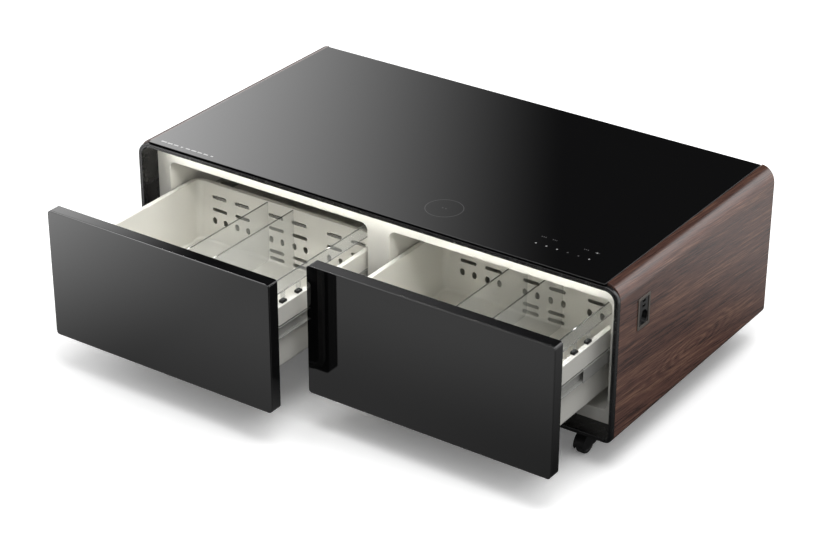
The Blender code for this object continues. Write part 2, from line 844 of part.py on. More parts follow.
def insulation():
    """Foam that fills the cabinet round both liners and behind the cold air chamber."""
    body = prism(case_outline(SHELL_INSET), at_y, LINER_FRONT, MACHINE_FRONT)
    bump = block(
        centred(0, CHAMBER_LENGTH + 2 * CHAMBER_FOAM),
        (LINER_BACK, CHAMBER_BACK + CHAMBER_FOAM),
        (CHAMBER_FLOOR - CHAMBER_FOAM, CHAMBER_CEILING + CHAMBER_FOAM),
    )
    body = fused(body, bump)
    tools = []
    for _, sign in SIDES:
        wall = opening_outline(LINER_WALL + GAP, sign * DRAWER_X)
        flange = opening_outline(LINER_FLANGE + GAP, sign * DRAWER_X)
        tools.append(prism(wall, at_y, LINER_FRONT - OVERRUN, LINER_BACK + GAP))
        tools.append(prism(flange, at_y, LINER_FRONT - OVERRUN, LINER_FRONT + LINER_WALL + GAP))
    tools.append(
        block(
            centred(0, CHAMBER_LENGTH),
            (LINER_BACK - LINER_WALL, CHAMBER_BACK),
            (CHAMBER_FLOOR, CHAMBER_CEILING),
        )
    )
    tools.append(
        block(
            (HALF_LENGTH - SOCKET_DEPTH - 2 * GAP, HALF_LENGTH),
            centred(SOCKET_Y, SOCKET_WIDTH),
            centred(socket_z(), SOCKET_HEIGHT),
        )
    )
    return carved(body, *tools)


def caster_places():
    """Name and place of each caster's swivel axis."""
    rows = (("front", CASTER_FRONT_INSET), ("back", TABLE_DEPTH - CASTER_BACK_INSET))
    return [
        (f"{row}_{side}_caster", sign * CASTER_X, y) for row, y in rows for side, sign in SIDES
    ]


def base_plate():
    """Steel pan under the table, with ribs across it and a boss over each caster's stem."""
    half = HALF_LENGTH - BOTTOM_CORNER - PANEL_BOTTOM_LAP - GAP

    def ring(inset, z):
        outline = rounded_rectangle(
            inset - half,
            half - inset,
            SHELL_FRONT + inset,
            TABLE_DEPTH - inset,
            (BASE_CORNER - inset,) * 4,
            2,
        )
        return at_z(outline, z)

    top = CASE_LOW + SHELL_THICK
    floor = CASE_LOW + BASE_SHEET
    pan = loft([ring(0, CASE_LOW), ring(0, top), ring(BASE_SHEET, top), ring(BASE_SHEET, floor)])
    middle = (CASE_LOW + floor) / 2
    inside = (BASE_SHEET / 2 - half, half - BASE_SHEET / 2)
    feet = (COMPRESSOR_PLATE_WIDTH - 2 * COMPRESSOR_FOOT_RADIUS) / 2
    ribs = [
        block(inside, centred(y, BASE_RIB_WIDTH), (middle, top))
        for y in (MACHINE_FRONT / 3, 2 * MACHINE_FRONT / 3, MACHINE_MIDDLE - feet, MACHINE_MIDDLE + feet)
    ]
    bosses = [
        prism(circle(x, y, BOSS_RADIUS, CASTER_STEPS), at_z, middle, top) for _, x, y in caster_places()
    ]
    bores = [
        prism(
            circle(x, y, STEM_RADIUS + STEM_CLEARANCE, CASTER_STEPS),
            at_z,
            CASE_LOW - OVERRUN,
            top - STEM_BORE_FLOOR,
        )
        for _, x, y in caster_places()
    ]
    return carved(fused(pan, *ribs, *bosses), gathered(bores))


def back_panel():
    """Sheet that closes the rear, with louvres before the condenser and behind the compressor, and a notch
    in its low edge that the power inlet's plate covers."""
    outlines = [case_outline(SHELL_INSET)]
    for _, sign in SIDES:
        x = sign * (HALF_LENGTH - LOUVRE_END_INSET - LOUVRE_LENGTH / 2)
        for row in range(LOUVRES):
            z = CASE_LOW + LOUVRE_LOW + row * LOUVRE_PITCH
            outlines.append(slot(x, z, LOUVRE_LENGTH, LOUVRE_HEIGHT))
    notch = block(
        centred(inlet_x(), INLET_PLATE_WIDTH - 2 * INLET_PLATE_LAP),
        (BACK_Y - OVERRUN, BACK_Y + BACK_THICK + OVERRUN),
        (CASE_LOW, INNER_LOW + INLET_PLATE_HEIGHT - INLET_PLATE_LAP),
    )
    return carved(plate(outlines, at_y, BACK_Y, BACK_Y + BACK_THICK), notch)


def duct_cover(sign):
    """Slotted cover behind a liner's cold air opening."""
    middle = duct_x(sign)
    pitch = DUCT_OPENING_HEIGHT / DUCT_SLOT_COUNT
    low = OPENING_LOW + DUCT_OPENING_LOW + pitch / 2
    outlines = [duct_outline(middle, DUCT_COVER_LAP)]
    for row in range(DUCT_SLOT_COUNT):
        outlines.append(slot(middle, low + row * pitch, DUCT_SLOT_LENGTH, DUCT_SLOT_HEIGHT))
    start = LINER_BACK + GAP
    return plate(outlines, at_y, start, start + DUCT_COVER_THICK)


def comb(length, depth, fins):
    """Outline of a finned coil: (along, out) points, fins standing out from a spine."""
    pitch = (length - COIL_FIN) / (fins - 1)
    points = [(0, 0), (length, 0)]
    for index in range(fins - 1, -1, -1):
        near = index * pitch
        points += [(near + COIL_FIN, depth), (near, depth)]
        if index:
            points += [(near, COIL_SPINE), (near - pitch + COIL_FIN, COIL_SPINE)]
    return points


def evaporator():
    """Finned coil on the floor of the cold air chamber, its fins upright, with two pipe stubs."""
    back = CHAMBER_BACK - GAP
    outline = [
        (along - EVAPORATOR_LENGTH / 2, back - out)
        for along, out in comb(EVAPORATOR_LENGTH, EVAPORATOR_DEPTH, EVAPORATOR_FINS)
    ]
    low = CHAMBER_FLOOR + GAP
    coil = prism(outline, at_z, low, low + EVAPORATOR_HEIGHT)
    start = EVAPORATOR_LENGTH / 2 - COIL_FIN / 2
    middle = back - EVAPORATOR_DEPTH / 2
    stubs = [
        prism(
            circle(middle, low + EVAPORATOR_HEIGHT * share, STUB_RADIUS, SMALL_ROUND_STEPS),
            at_x,
            start,
            start + STUB_LENGTH,
        )
        for share in STUB_SHARES
    ]
    return fused(coil, *stubs)


def blower_z():
    """Height of the evaporator fan's axis."""
    return CHAMBER_CEILING - BLOWER_DROP - BLOWER_RADIUS


def evaporator_fan_motor():
    """Motor on the chamber's rear wall, about its own axis, with the shaft pointing along +Z."""
    thick = BLOWER_PLATE_THICK
    top = thick + BLOWER_MOTOR_LENGTH
    mount = prism(square(0, 0, BLOWER_PLATE, BLOWER_PLATE, SMALLEST_CORNER), at_z, 0, thick)
    can = turned(
        [
            (0, thick / 2),
            (BLOWER_MOTOR_RADIUS, thick / 2),
            (BLOWER_MOTOR_RADIUS, top),
            (BLOWER_SHAFT_RADIUS, top),
            (BLOWER_SHAFT_RADIUS, top + BLOWER_SHAFT_LENGTH),
            (0, top + BLOWER_SHAFT_LENGTH),
        ][::-1]
    )
    return moved(fused(mount, can), turn=0.5 * pi, axis="X")


def blower_blade(index):
    """One backward-curved blade of the evaporator fan, as a plan outline."""
    first = 2 * pi * index / BLOWER_BLADES
    outer = BLOWER_RADIUS - BLOWER_BLADE_THICK
    near = []
    far = []
    for step in range(3):
        share = step / 2
        radius = BLOWER_BLADE_ROOT + (outer - BLOWER_BLADE_ROOT) * share
        angle = first - BLOWER_SWEEP * share * share
        half = 0.5 * BLOWER_BLADE_THICK / radius
        near.append((radius * cos(angle - half), radius * sin(angle - half)))
        far.append((radius * cos(angle + half), radius * sin(angle + half)))
    return near + far[::-1]


def evaporator_fan():
    """Centrifugal wheel: a disc with a hub, curved blades and a front ring, turned to face -Y."""
    disc = turned(
        [
            (BLOWER_SHAFT_RADIUS + SHAFT_CLEARANCE, 0),
            (BLOWER_RADIUS, 0),
            (BLOWER_RADIUS, BLOWER_DISC),
            (BLOWER_HUB_RADIUS, BLOWER_DISC),
            (BLOWER_HUB_RADIUS, BLOWER_WIDTH / 2),
            (BLOWER_SHAFT_RADIUS + SHAFT_CLEARANCE, BLOWER_WIDTH / 2),
        ],
        ring=True,
    )
    front = BLOWER_WIDTH - BLOWER_DISC
    ring = turned(
        [
            (BLOWER_EYE, front),
            (BLOWER_RADIUS, front),
            (BLOWER_RADIUS, BLOWER_WIDTH),
            (BLOWER_EYE, BLOWER_WIDTH),
        ],
        ring=True,
    )
    blades = [
        prism(blower_blade(index), at_z, BLOWER_DISC / 2, front + BLOWER_DISC / 2)
        for index in range(BLOWER_BLADES)
    ]
    return moved(fused(disc, gathered(blades), ring), turn=0.5 * pi, axis="X")


def compressor():
    """Domed compressor shell with a seam flange, on a foot plate with four mounts."""
    low = COMPRESSOR_LIFT
    high = low + COMPRESSOR_HEIGHT
    seam = (low + high) / 2
    profile = [(0, high)]
    for step in range(1, DOME_STEPS + 1):
        angle = 0.5 * pi * step / DOME_STEPS
        profile.append(
            (COMPRESSOR_RADIUS * sin(angle), high - COMPRESSOR_DOME * (1 - cos(angle)))
        )
    profile += [
        (COMPRESSOR_RADIUS, seam + COMPRESSOR_SEAM),
        (COMPRESSOR_RADIUS + COMPRESSOR_SEAM, seam + COMPRESSOR_SEAM),
        (COMPRESSOR_RADIUS + COMPRESSOR_SEAM, seam),
        (COMPRESSOR_RADIUS, seam),
    ]
    for step in range(DOME_STEPS, 0, -1):
        angle = 0.5 * pi * step / DOME_STEPS
        profile.append((COMPRESSOR_RADIUS * sin(angle), low + COMPRESSOR_DOME * (1 - cos(angle))))
    profile.append((0, low))
    shell = turned(profile)
    plate_low = low - COMPRESSOR_PLATE_THICK
    foot_plate = prism(
        square(0, 0, COMPRESSOR_PLATE_LENGTH, COMPRESSOR_PLATE_WIDTH, COMPRESSOR_FOOT_RADIUS),
        at_z,
        plate_low,
        low + COMPRESSOR_PLATE_THICK,
    )
    across = COMPRESSOR_PLATE_LENGTH / 2 - COMPRESSOR_FOOT_RADIUS
    along = COMPRESSOR_PLATE_WIDTH / 2 - COMPRESSOR_FOOT_RADIUS
    feet = [
        prism(circle(x, y, COMPRESSOR_PAD_RADIUS, SMALL_ROUND_STEPS), at_z, 0, low)
        for x in (-across, across)
        for y in (-along, along)
    ]
    terminal = block(
        (0, COMPRESSOR_RADIUS + COMPRESSOR_TERMINAL_REACH),
        centred(0, COMPRESSOR_TERMINAL_WIDTH),
        centred(seam - COMPRESSOR_TERMINAL_WIDTH / 2 - COMPRESSOR_SEAM, COMPRESSOR_TERMINAL_WIDTH),
    )
    pipe = prism(
        circle(-COMPRESSOR_RADIUS / 2, 0, COMPRESSOR_PIPE_RADIUS, SMALL_ROUND_STEPS),
        at_z,
        high - COMPRESSOR_DOME,
        high + COMPRESSOR_PIPE_LENGTH,
    )
    return fused(shell, foot_plate, gathered(feet), terminal, pipe)


def condenser():
    """Finned coil that stands across the machine space, its fins level."""
    outline = [
        (CONDENSER_THICK / 2 - out, along)
        for along, out in comb(CONDENSER_HEIGHT, CONDENSER_THICK, CONDENSER_FINS)
    ]
    coil = prism(outline, at_y, -CONDENSER_WIDTH / 2, CONDENSER_WIDTH / 2)
    start = CONDENSER_HEIGHT - COIL_FIN / 2
    stubs = [
        prism(
            circle(0, side * CONDENSER_WIDTH / 4, STUB_RADIUS, SMALL_ROUND_STEPS),
            at_z,
            start,
            start + STUB_LENGTH,
        )
        for side in (-1, 1)
    ]
    return fused(coil, *stubs)


def fan_z():
    """Height of the condenser fan's axis above the base plate's top."""
    return SHROUD_HEIGHT / 2


def condenser_fan_shroud():
    """Baffle across the machine space with a ring round the fan, struts and the motor with its shaft."""
    bore = FAN_RADIUS + FAN_TIP_GAP
    outer = bore + SHROUD_RING
    width = MACHINE_DEPTH - 2 * SHROUD_SIDE_GAP
    wall = square(0, fan_z(), width, SHROUD_HEIGHT, SMALLEST_CORNER)
    baffle = prism(wall, at_x, 0, SHROUD_PLATE)
    ring = circle(0, fan_z(), outer, WHEEL_STEPS)
    hole = circle(0, fan_z(), bore, WHEEL_STEPS)
    baffle = fused(baffle, prism(ring, at_x, SHROUD_PLATE / 2, SHROUD_DEPTH))
    baffle = carved(baffle, prism(hole, at_x, -OVERRUN, SHROUD_DEPTH + OVERRUN))
    motor = moved(
        turned(
            [
                (0, 0),
                (FAN_MOTOR_RADIUS, 0),
                (FAN_MOTOR_RADIUS, FAN_MOTOR_LENGTH),
                (FAN_SHAFT_RADIUS, FAN_MOTOR_LENGTH),
                (FAN_SHAFT_RADIUS, FAN_MOTOR_LENGTH + FAN_SHAFT_LENGTH),
                (0, FAN_MOTOR_LENGTH + FAN_SHAFT_LENGTH),
            ][::-1]
        ),
        turn=0.5 * pi,
        axis="Y",
    )
    struts = []
    for index in range(FAN_STRUTS):
        strut = block(
            (SHROUD_PLATE / 2, SHROUD_PLATE / 2 + FAN_STRUT),
            centred(0, FAN_STRUT),
            (FAN_MOTOR_RADIUS - FAN_STRUT, bore + SHROUD_RING / 2),
        )
        struts.append(moved(strut, turn=2 * pi * index / FAN_STRUTS, axis="X"))
    hub = moved(fused(motor, *struts), (0, 0, fan_z()))
    return fused(baffle, hub)


def fan_blade(index):
    """One pitched blade of the condenser fan, about Z, as a loft from hub to tip."""
    sections = []
    for step in range(3):
        share = step / 2
        radius = FAN_HUB_RADIUS - FAN_BLADE_THICK + (FAN_RADIUS - FAN_HUB_RADIUS + FAN_BLADE_THICK) * share
        pitch = FAN_ROOT_PITCH + (FAN_TIP_PITCH - FAN_ROOT_PITCH) * share
        half = FAN_BLADE_CHORD / 2
        thick = FAN_BLADE_THICK / 2
        section = []
        for along, up in ((-half, -thick), (half, -thick), (half, thick), (-half, thick)):
            section.append(
                (
                    radius,
                    along * cos(pitch) - up * sin(pitch),
                    along * sin(pitch) + up * cos(pitch),
                )
            )
        sections.append(section)
    return moved(loft(sections), turn=2 * pi * index / FAN_BLADES)


def condenser_fan():
    """Axial fan: a hub with a shaft bore and pitched blades, turned to lie along X."""
    half = FAN_HUB_LENGTH / 2
    hub = turned(
        [
            (FAN_SHAFT_RADIUS + SHAFT_CLEARANCE, -half),
            (FAN_HUB_RADIUS, -half),
            (FAN_HUB_RADIUS, half),
            (FAN_SHAFT_RADIUS + SHAFT_CLEARANCE, half),
        ],
        ring=True,
    )
    blades = [fan_blade(index) for index in range(FAN_BLADES)]
    return moved(fused(hub, gathered(blades)), turn=0.5 * pi, axis="Y")


def control_board():
    """Main board on four stand-offs, with its transformer, relays, heatsink and capacitors."""
    start = BOARD_STANDOFF
    face = start + BOARD_THICK
    sheet = block(centred(0, BOARD_LENGTH), (start, face), (0, BOARD_HEIGHT))
    parts = []
    for x in (BOARD_MARGIN - BOARD_LENGTH / 2, BOARD_LENGTH / 2 - BOARD_MARGIN):
        for z in (BOARD_MARGIN, BOARD_HEIGHT - BOARD_MARGIN):
            post = circle(x, z, BOARD_STANDOFF_RADIUS, SMALL_ROUND_STEPS)
            parts.append(prism(post, at_y, 0, start + BOARD_THICK / 2))
    inside = face - BOARD_THICK / 2
    left = BOARD_MARGIN - BOARD_LENGTH / 2
    parts.append(
        block(
            centred(left + TRANSFORMER_SIZE, TRANSFORMER_SIZE),
            (inside, face + TRANSFORMER_SIZE / 2),
            centred(BOARD_HEIGHT / 2, TRANSFORMER_SIZE),
        )
    )
    for index in range(3):
        x = RELAY_PITCH * index - RELAY_SIZE
        parts.append(
            block(
                centred(x, RELAY_SIZE),
                (inside, face + RELAY_HEIGHT),
                centred(BOARD_HEIGHT - BOARD_MARGIN - RELAY_SIZE / 2, RELAY_HEIGHT),
            )
        )
    parts.append(
        block(
            (0, BOARD_LENGTH / 2 - 2 * BOARD_MARGIN),
            (inside, face + HEATSINK_DEPTH),
            (BOARD_MARGIN, BOARD_MARGIN + COIL_FIN),
        )
    )
    parts.append(
        block(
            (0, BOARD_LENGTH / 2 - 2 * BOARD_MARGIN),
            (inside, face + COIL_FIN),
            (BOARD_MARGIN, BOARD_MARGIN + HEATSINK_HEIGHT),
        )
    )
    for index in range(2):
        x = -2 * CAPACITOR_RADIUS - index * CAPACITOR_PITCH
        cap = circle(x, BOARD_HEIGHT / 4, CAPACITOR_RADIUS, SMALL_ROUND_STEPS)
        parts.append(prism(cap, at_y, inside, face + HEATSINK_DEPTH))
    return fused(sheet, *parts)


def touch_board():
    """Sensor board under the glass, with a row of round pads."""
    low = CASE_TOP - POCKET_DEPTH + GAP
    sheet = prism(
        square(TOUCH_X, TOUCH_Y, TOUCH_LENGTH, TOUCH_WIDTH, TOUCH_CORNER), at_z, low, low + TOUCH_SHEET
    )
    pads = []
    for index in range(TOUCH_PADS):
        x = TOUCH_X + TOUCH_PAD_PITCH * (index - (TOUCH_PADS - 1) / 2)
        pad = circle(x, TOUCH_Y - TOUCH_WIDTH / 4, TOUCH_PAD / 2, SMALL_ROUND_STEPS)
        pads.append(prism(pad, at_z, low + TOUCH_SHEET / 2, CASE_TOP))
    return fused(sheet, gathered(pads))


def charging_coil():
    """Wireless charging coil: a ferrite disc that carries a flat winding of round turns."""
    low = CASE_TOP - POCKET_DEPTH + GAP
    ferrite = low + COIL_FERRITE
    pitch = (COIL_RADIUS - COIL_BORE) / COIL_TURNS
    profile = [(0, low), (COIL_RADIUS, low), (COIL_RADIUS, ferrite)]
    for index in range(COIL_TURNS):
        outer = COIL_RADIUS - index * pitch
        profile += [
            (outer - pitch / 8, ferrite),
            (outer - pitch / 4, CASE_TOP),
            (outer - 3 * pitch / 4, CASE_TOP),
            (outer - 7 * pitch / 8, ferrite),
        ]
    profile.append((0, ferrite))
    return moved(turned(profile[::-1], WHEEL_STEPS), (COIL_X, COIL_Y, 0))


def socket_z():
    """Height of the socket's middle."""
    return TABLE_HEIGHT - SOCKET_TOP_DROP - SOCKET_HEIGHT / 2


def socket_outline(inset):
    """Outline of the socket module on the right panel."""
    return square(
        SOCKET_Y,
        socket_z(),
        SOCKET_WIDTH - 2 * inset,
        SOCKET_HEIGHT - 2 * inset,
        max(SOCKET_CORNER - inset, SMALLEST_CORNER),
        3,
    )


def socket_frame():
    """Bezel on the panel with a sleeve that passes through its cut-out."""
    face = HALF_LENGTH + GAP
    outer = SOCKET_RIM - SOCKET_SLEEVE
    end = HALF_LENGTH - SOCKET_DEPTH
    return loft(
        [
            at_x(socket_outline(0), face),
            at_x(socket_outline(0), face + SOCKET_PROUD / 2),
            at_x(socket_outline(SOCKET_PROUD / 2), face + SOCKET_PROUD),
            at_x(socket_outline(SOCKET_RIM), face + SOCKET_PROUD),
            at_x(socket_outline(SOCKET_RIM), end),
            at_x(socket_outline(outer), end),
            at_x(socket_outline(outer), face),
        ],
        closed=True,
    )


def socket_insert():
    """Insert with a round outlet below and two ports above, sunk into its face."""
    face = HALF_LENGTH + SOCKET_PROUD - SOCKET_FACE_SINK
    body = prism(socket_outline(SOCKET_RIM + GAP), at_x, HALF_LENGTH - SOCKET_DEPTH, face)
    middle = socket_z()
    top = middle + SOCKET_HEIGHT / 2 - SOCKET_RIM
    outlet_z = middle - SOCKET_HEIGHT / 2 + SOCKET_RIM + OUTLET_RADIUS + 2 * GAP + SOCKET_SLEEVE
    tools = [
        prism(circle(SOCKET_Y, outlet_z, OUTLET_RADIUS), at_x, face - OUTLET_DEPTH, face + OVERRUN)
    ]
    for index in range(2):
        z = top - PORT_PITCH * (index + 0.5)
        port = square(SOCKET_Y, z, PORT_WIDTH, PORT_HEIGHT, PIN_SLOT_WIDTH / 2)
        tools.append(prism(port, at_x, face - PORT_DEPTH, face + OVERRUN))
    for side in (-1, 1):
        y = SOCKET_Y + side * PIN_SLOT_PITCH / 2
        pin = square(y, outlet_z, PIN_SLOT_WIDTH, PIN_SLOT_HEIGHT, PIN_SLOT_WIDTH / 4)
        tools.append(prism(pin, at_x, face - PIN_SLOT_DEPTH, face - OUTLET_DEPTH + GAP))
    return carved(body, *tools)


def inlet_x():
    """Middle of the power inlet across the table."""
    return HALF_LENGTH - LOUVRE_END_INSET - LOUVRE_LENGTH - INLET_END_INSET


def inlet_z():
    """Height of the power inlet's middle."""
    return CASE_LOW + INLET_HEIGHT


def power_inlet():
    """Mains inlet on a plate over the back panel's notch: a shell with three pins in its mouth."""
    face = BACK_Y + BACK_THICK + GAP
    x = inlet_x()
    z = inlet_z()
    cover = prism(
        square(x, INNER_LOW + INLET_PLATE_HEIGHT / 2, INLET_PLATE_WIDTH, INLET_PLATE_HEIGHT, INLET_CORNER),
        at_y,
        face,
        face + INLET_PLATE_THICK,
    )
    shell = prism(
        square(x, z, INLET_BODY_WIDTH, INLET_BODY_HEIGHT, INLET_CORNER - GAP),
        at_y,
        face - INLET_BODY_DEPTH,
        face + INLET_PLATE_THICK / 2,
    )
    mouth = prism(
        square(
            x, z, INLET_BODY_WIDTH - 2 * INLET_WALL, INLET_BODY_HEIGHT - 2 * INLET_WALL, INLET_WALL
        ),
        at_y,
        face - INLET_MOUTH_DEPTH,
        face + OVERRUN,
    )
    pins = [
        block(
            centred(x + side * INLET_PIN_PITCH, INLET_PIN_WIDTH),
            (face - INLET_MOUTH_DEPTH - INLET_WALL, face - INLET_MOUTH_DEPTH + INLET_PIN_LENGTH),
            centred(z + rise * INLET_PIN_HEIGHT / 2, INLET_PIN_HEIGHT),
        )
        for side, rise in ((-1, -1), (0, 1), (1, -1))
    ]
    return fused(carved(fused(cover, shell), mouth), gathered(pins))


def caster_fork():
    """Hooded fork about its swivel axis at floor level, with its race, stem and axle."""
    axle_y = -CASTER_TRAIL
    axle_z = WHEEL_RADIUS
    hood_inner = WHEEL_RADIUS + FORK_HOOD_GAP
    hood_outer = hood_inner + FORK_HOOD
    inside = WHEEL_WIDTH / 2 + FORK_GAP
    outside = inside + FORK_CHEEK
    skirt = axle_z - FORK_SKIRT
    outline = []
    for step in range(HOOD_STEPS + 1):
        angle = pi * step / HOOD_STEPS
        outline.append((axle_y + hood_outer * cos(angle), axle_z + hood_outer * sin(angle)))
    outline += [
        (axle_y - hood_outer * cos(pi / 6), skirt),
        (axle_y + hood_outer * cos(pi / 6), skirt),
    ]
    body = prism(outline, at_x, -outside, outside)
    top = CASE_LOW - GAP
    neck = turned(
        [
            (0, axle_z),
            (FORK_NECK_RADIUS, axle_z),
            (FORK_NECK_RADIUS, top - FORK_RACE_THICK),
            (FORK_RACE_RADIUS, top - FORK_RACE_THICK / 2),
            (FORK_RACE_RADIUS, top),
            (STEM_RADIUS, top),
            (STEM_RADIUS, top + STEM_LENGTH),
            (0, top + STEM_LENGTH),
        ][::-1],
        CASTER_STEPS,
    )
    outline = circle(axle_y, axle_z, hood_inner, 2 * HOOD_STEPS)
    well = prism(outline, at_x, -inside, inside)
    below = block(
        (-inside, inside),
        centred(axle_y, 2 * hood_inner),
        (skirt - OVERRUN, axle_z),
    )
    reach = outside - FORK_CHEEK / 2
    axle = prism(circle(axle_y, axle_z, AXLE_RADIUS, SMALL_ROUND_STEPS), at_x, -reach, reach)
    return fused(carved(fused(body, neck), well, below), axle)


def caster_wheel():
    """Wheel about its axle along X, resting on a flat, with dished faces and a bore."""
    half = WHEEL_WIDTH / 2
    tread = WHEEL_RADIUS / cos(pi / WHEEL_STEPS)
    side = [
        (WHEEL_BORE, half),
        (2 * WHEEL_BORE, half),
        ((WHEEL_RADIUS + WHEEL_BORE) / 2, half - WHEEL_HUB_DISH),
        (tread - WHEEL_TREAD_ROUND, half),
        (tread, half - WHEEL_TREAD_ROUND),
    ]
    profile = [(radius, -x) for radius, x in side] + side[::-1]
    wheel = moved(turned(profile, WHEEL_STEPS, ring=True), turn=pi / WHEEL_STEPS)
    return moved(wheel, turn=0.5 * pi, axis="Y")


def channel(near, far, half, sign):
    """C-section of a rail: a web at near and two flanges that reach to far, mirrored by sign."""
    toward = 1 if far > near else -1
    web = near + toward * RAIL_SHEET
    inner = half - RAIL_SHEET
    lower = [(near, -half), (far, -half), (far, -inner), (web, -inner)]
    upper = [(x, -z) for x, z in reversed(lower)]
    return [(sign * x, RAIL_Z + z) for x, z in lower + upper]


def rail(kind, sign):
    """One rail member beside a drawer box, about the drawer's middle, as it lies when shut."""
    wall = OPENING_HALF
    half = RAIL_HEIGHT / 2
    step = RAIL_SHEET + RUNNING_GAP
    if kind == "cabinet":
        near = wall - GAP
        section = channel(near, near - CABINET_RAIL_DEPTH, half, sign)
    elif kind == "middle":
        near = wall - MIDDLE_RAIL_SETBACK
        section = channel(near, near - MIDDLE_RAIL_DEPTH, half - step, sign)
    else:
        near = wall - RAIL_SPACE + GAP
        section = channel(near, near + BOX_RAIL_DEPTH, half - 2 * step, sign)
    return prism(section, at_y, RAIL_FRONT, RAIL_BACK)


def rear_wall_holes():
    """Cutters for the rows of slots and holes in a box's rear wall."""
    height = BOX_RIM - BOX_LOW
    outlines = []
    for group in (-1, 0, 1):
        for pair in (-1, 1):
            x = group * SLOT_GROUP_PITCH + pair * SLOT_PAIR_PITCH / 2
            for share in (UPPER_ROW_SHARE, LOWER_ROW_SHARE):
                outlines.append(slot(x, BOX_RIM - share * height, SLOT_LENGTH, SLOT_HEIGHT))
            for side in (-1, 1):
                hole = slot(0, 0, HOLE_HEIGHT, HOLE_WIDTH)
                middle = x + side * HOLE_PITCH / 2
                z = BOX_RIM - HOLE_ROW_SHARE * height
                outlines.append([(middle - b, z + a) for a, b in hole])
    for share in (VENT_ROW_SHARE, LAST_ROW_SHARE):
        for pair in (-1, 1):
            x = pair * SLOT_PAIR_PITCH / 2
            outlines.append(slot(x, BOX_RIM - share * height, SLOT_LENGTH, SLOT_HEIGHT))
    start = BOX_BACK - RIM_WIDTH - OVERRUN
    return gathered([prism(outline, at_y, start, BOX_BACK + OVERRUN) for outline in outlines])


def drawer_box():
    """White drawer box: a wide rim with an apron outside, plain walls and a pierced rear wall."""
    apron_low = BOX_RIM - APRON_HEIGHT
    corner = BOX_FILLET * (1 - cos(pi / 4))
    sections = [
        at_z(box_outline(WALL_INSET + BOX_FILLET), BOX_LOW),
        at_z(box_outline(WALL_INSET + corner), BOX_LOW + corner),
        at_z(box_outline(WALL_INSET), BOX_LOW + BOX_FILLET),
        at_z(box_outline(WALL_INSET), BOX_RIM - BOX_WALL),
        at_z(box_outline(BOX_WALL), BOX_RIM - BOX_WALL),
        at_z(box_outline(BOX_WALL), apron_low),
        at_z(box_outline(0), apron_low),
        at_z(box_outline(0), BOX_RIM - RIM_ROUND),
        at_z(box_outline(RIM_ROUND), BOX_RIM),
        at_z(box_outline(RIM_WIDTH), BOX_RIM),
        at_z(box_outline(RIM_WIDTH), BOX_FLOOR + BOX_FILLET),
        at_z(box_outline(RIM_WIDTH + corner), BOX_FLOOR + corner),
        at_z(box_outline(RIM_WIDTH + BOX_FILLET), BOX_FLOOR),
    ]
    wall = BOX_BACK - RIM_WIDTH
    rib_top = BOX_RIM - UPPER_ROW_SHARE * (BOX_RIM - BOX_LOW) + SLOT_HEIGHT
    ribs = [
        block(
            centred(side * SLOT_GROUP_PITCH / 2, RIB_WIDTH),
            (wall - RIB_DEPTH, wall + BOX_WALL / 2),
            (BOX_FLOOR - BOX_WALL / 2, rib_top),
        )
        for side in (-1, 1)
    ]
    return carved(fused(loft(sections), *ribs), rear_wall_holes())


def divider(place):
    """Clear plate from front to back in a box, standing on its floor, at a distance from its left side."""
    front = BOX_FRONT + RIM_WIDTH + GAP
    back = BOX_BACK - RIM_WIDTH - RIB_DEPTH / 2
    top = BOX_RIM - DIVIDER_DROP
    low = BOX_FLOOR + GAP
    outline = [
        (front + BOX_FILLET, low),
        (back - BOX_FILLET, low),
        (back, BOX_FLOOR + BOX_FILLET),
        (back, top),
        (front, top),
        (front, BOX_FLOOR + BOX_FILLET),
    ]
    start = place - BOX_HALF - DIVIDER_THICK / 2
    return prism(outline, at_x, start, start + DIVIDER_THICK)


def gallery(first_leg):
    """Clear strip over the right rim on two legs, about the drawer's middle."""
    x = centred(BOX_HALF - GALLERY_INSET, GALLERY_THICK)
    low = BOX_RIM + GAP
    strip_low = BOX_RIM + GALLERY_LIFT
    ends = (BOX_FRONT + GALLERY_END_INSET, BOX_BACK - GALLERY_END_INSET)
    strip = block(x, ends, (strip_low, strip_low + GALLERY_HEIGHT))
    legs = [
        block(
            x,
            centred(BOX_FRONT + first_leg + index * GALLERY_LEG_PITCH, GALLERY_LEG),
            (low, strip_low + GALLERY_THICK),
        )
        for index in range(2)
    ]
    return fused(strip, *legs)


def gasket():
    """Magnetic seal on a door's back: a rounded ring, drawn in along its middle."""
    lap = GASKET_LAP
    start = DOOR_BACK + GAP
    end = start + GASKET_THICK
    middle = (start + end) / 2

    def ring(grow, y):
        return at_y(opening_outline(grow), y)

    return loft(
        [
            ring(lap, start),
            ring(lap + GASKET_GROOVE, middle),
            ring(lap, end),
            ring(lap + GASKET_WIDTH, end),
            ring(lap + GASKET_WIDTH - GASKET_GROOVE, middle),
            ring(lap + GASKET_WIDTH, start),
        ],
        closed=True,
    )


def door_glass():
    """Glass front of a door, with ground edges."""
    back = DOOR_FRONT + DOOR_GLASS
    return loft(
        [
            at_y(door_outline(DOOR_CHAMFER), DOOR_FRONT),
            at_y(door_outline(0), DOOR_FRONT + DOOR_CHAMFER),
            at_y(door_outline(0), back),
        ]
    )


def door_body():
    """Foam-filled door body behind the glass, with a rounded back edge."""
    start = DOOR_FRONT + DOOR_GLASS + GAP
    return loft(
        [
            at_y(door_outline(0), start),
            at_y(door_outline(0), DOOR_BACK - 2 * DOOR_CHAMFER),
            at_y(door_outline(2 * DOOR_CHAMFER), DOOR_BACK),
        ]
    )


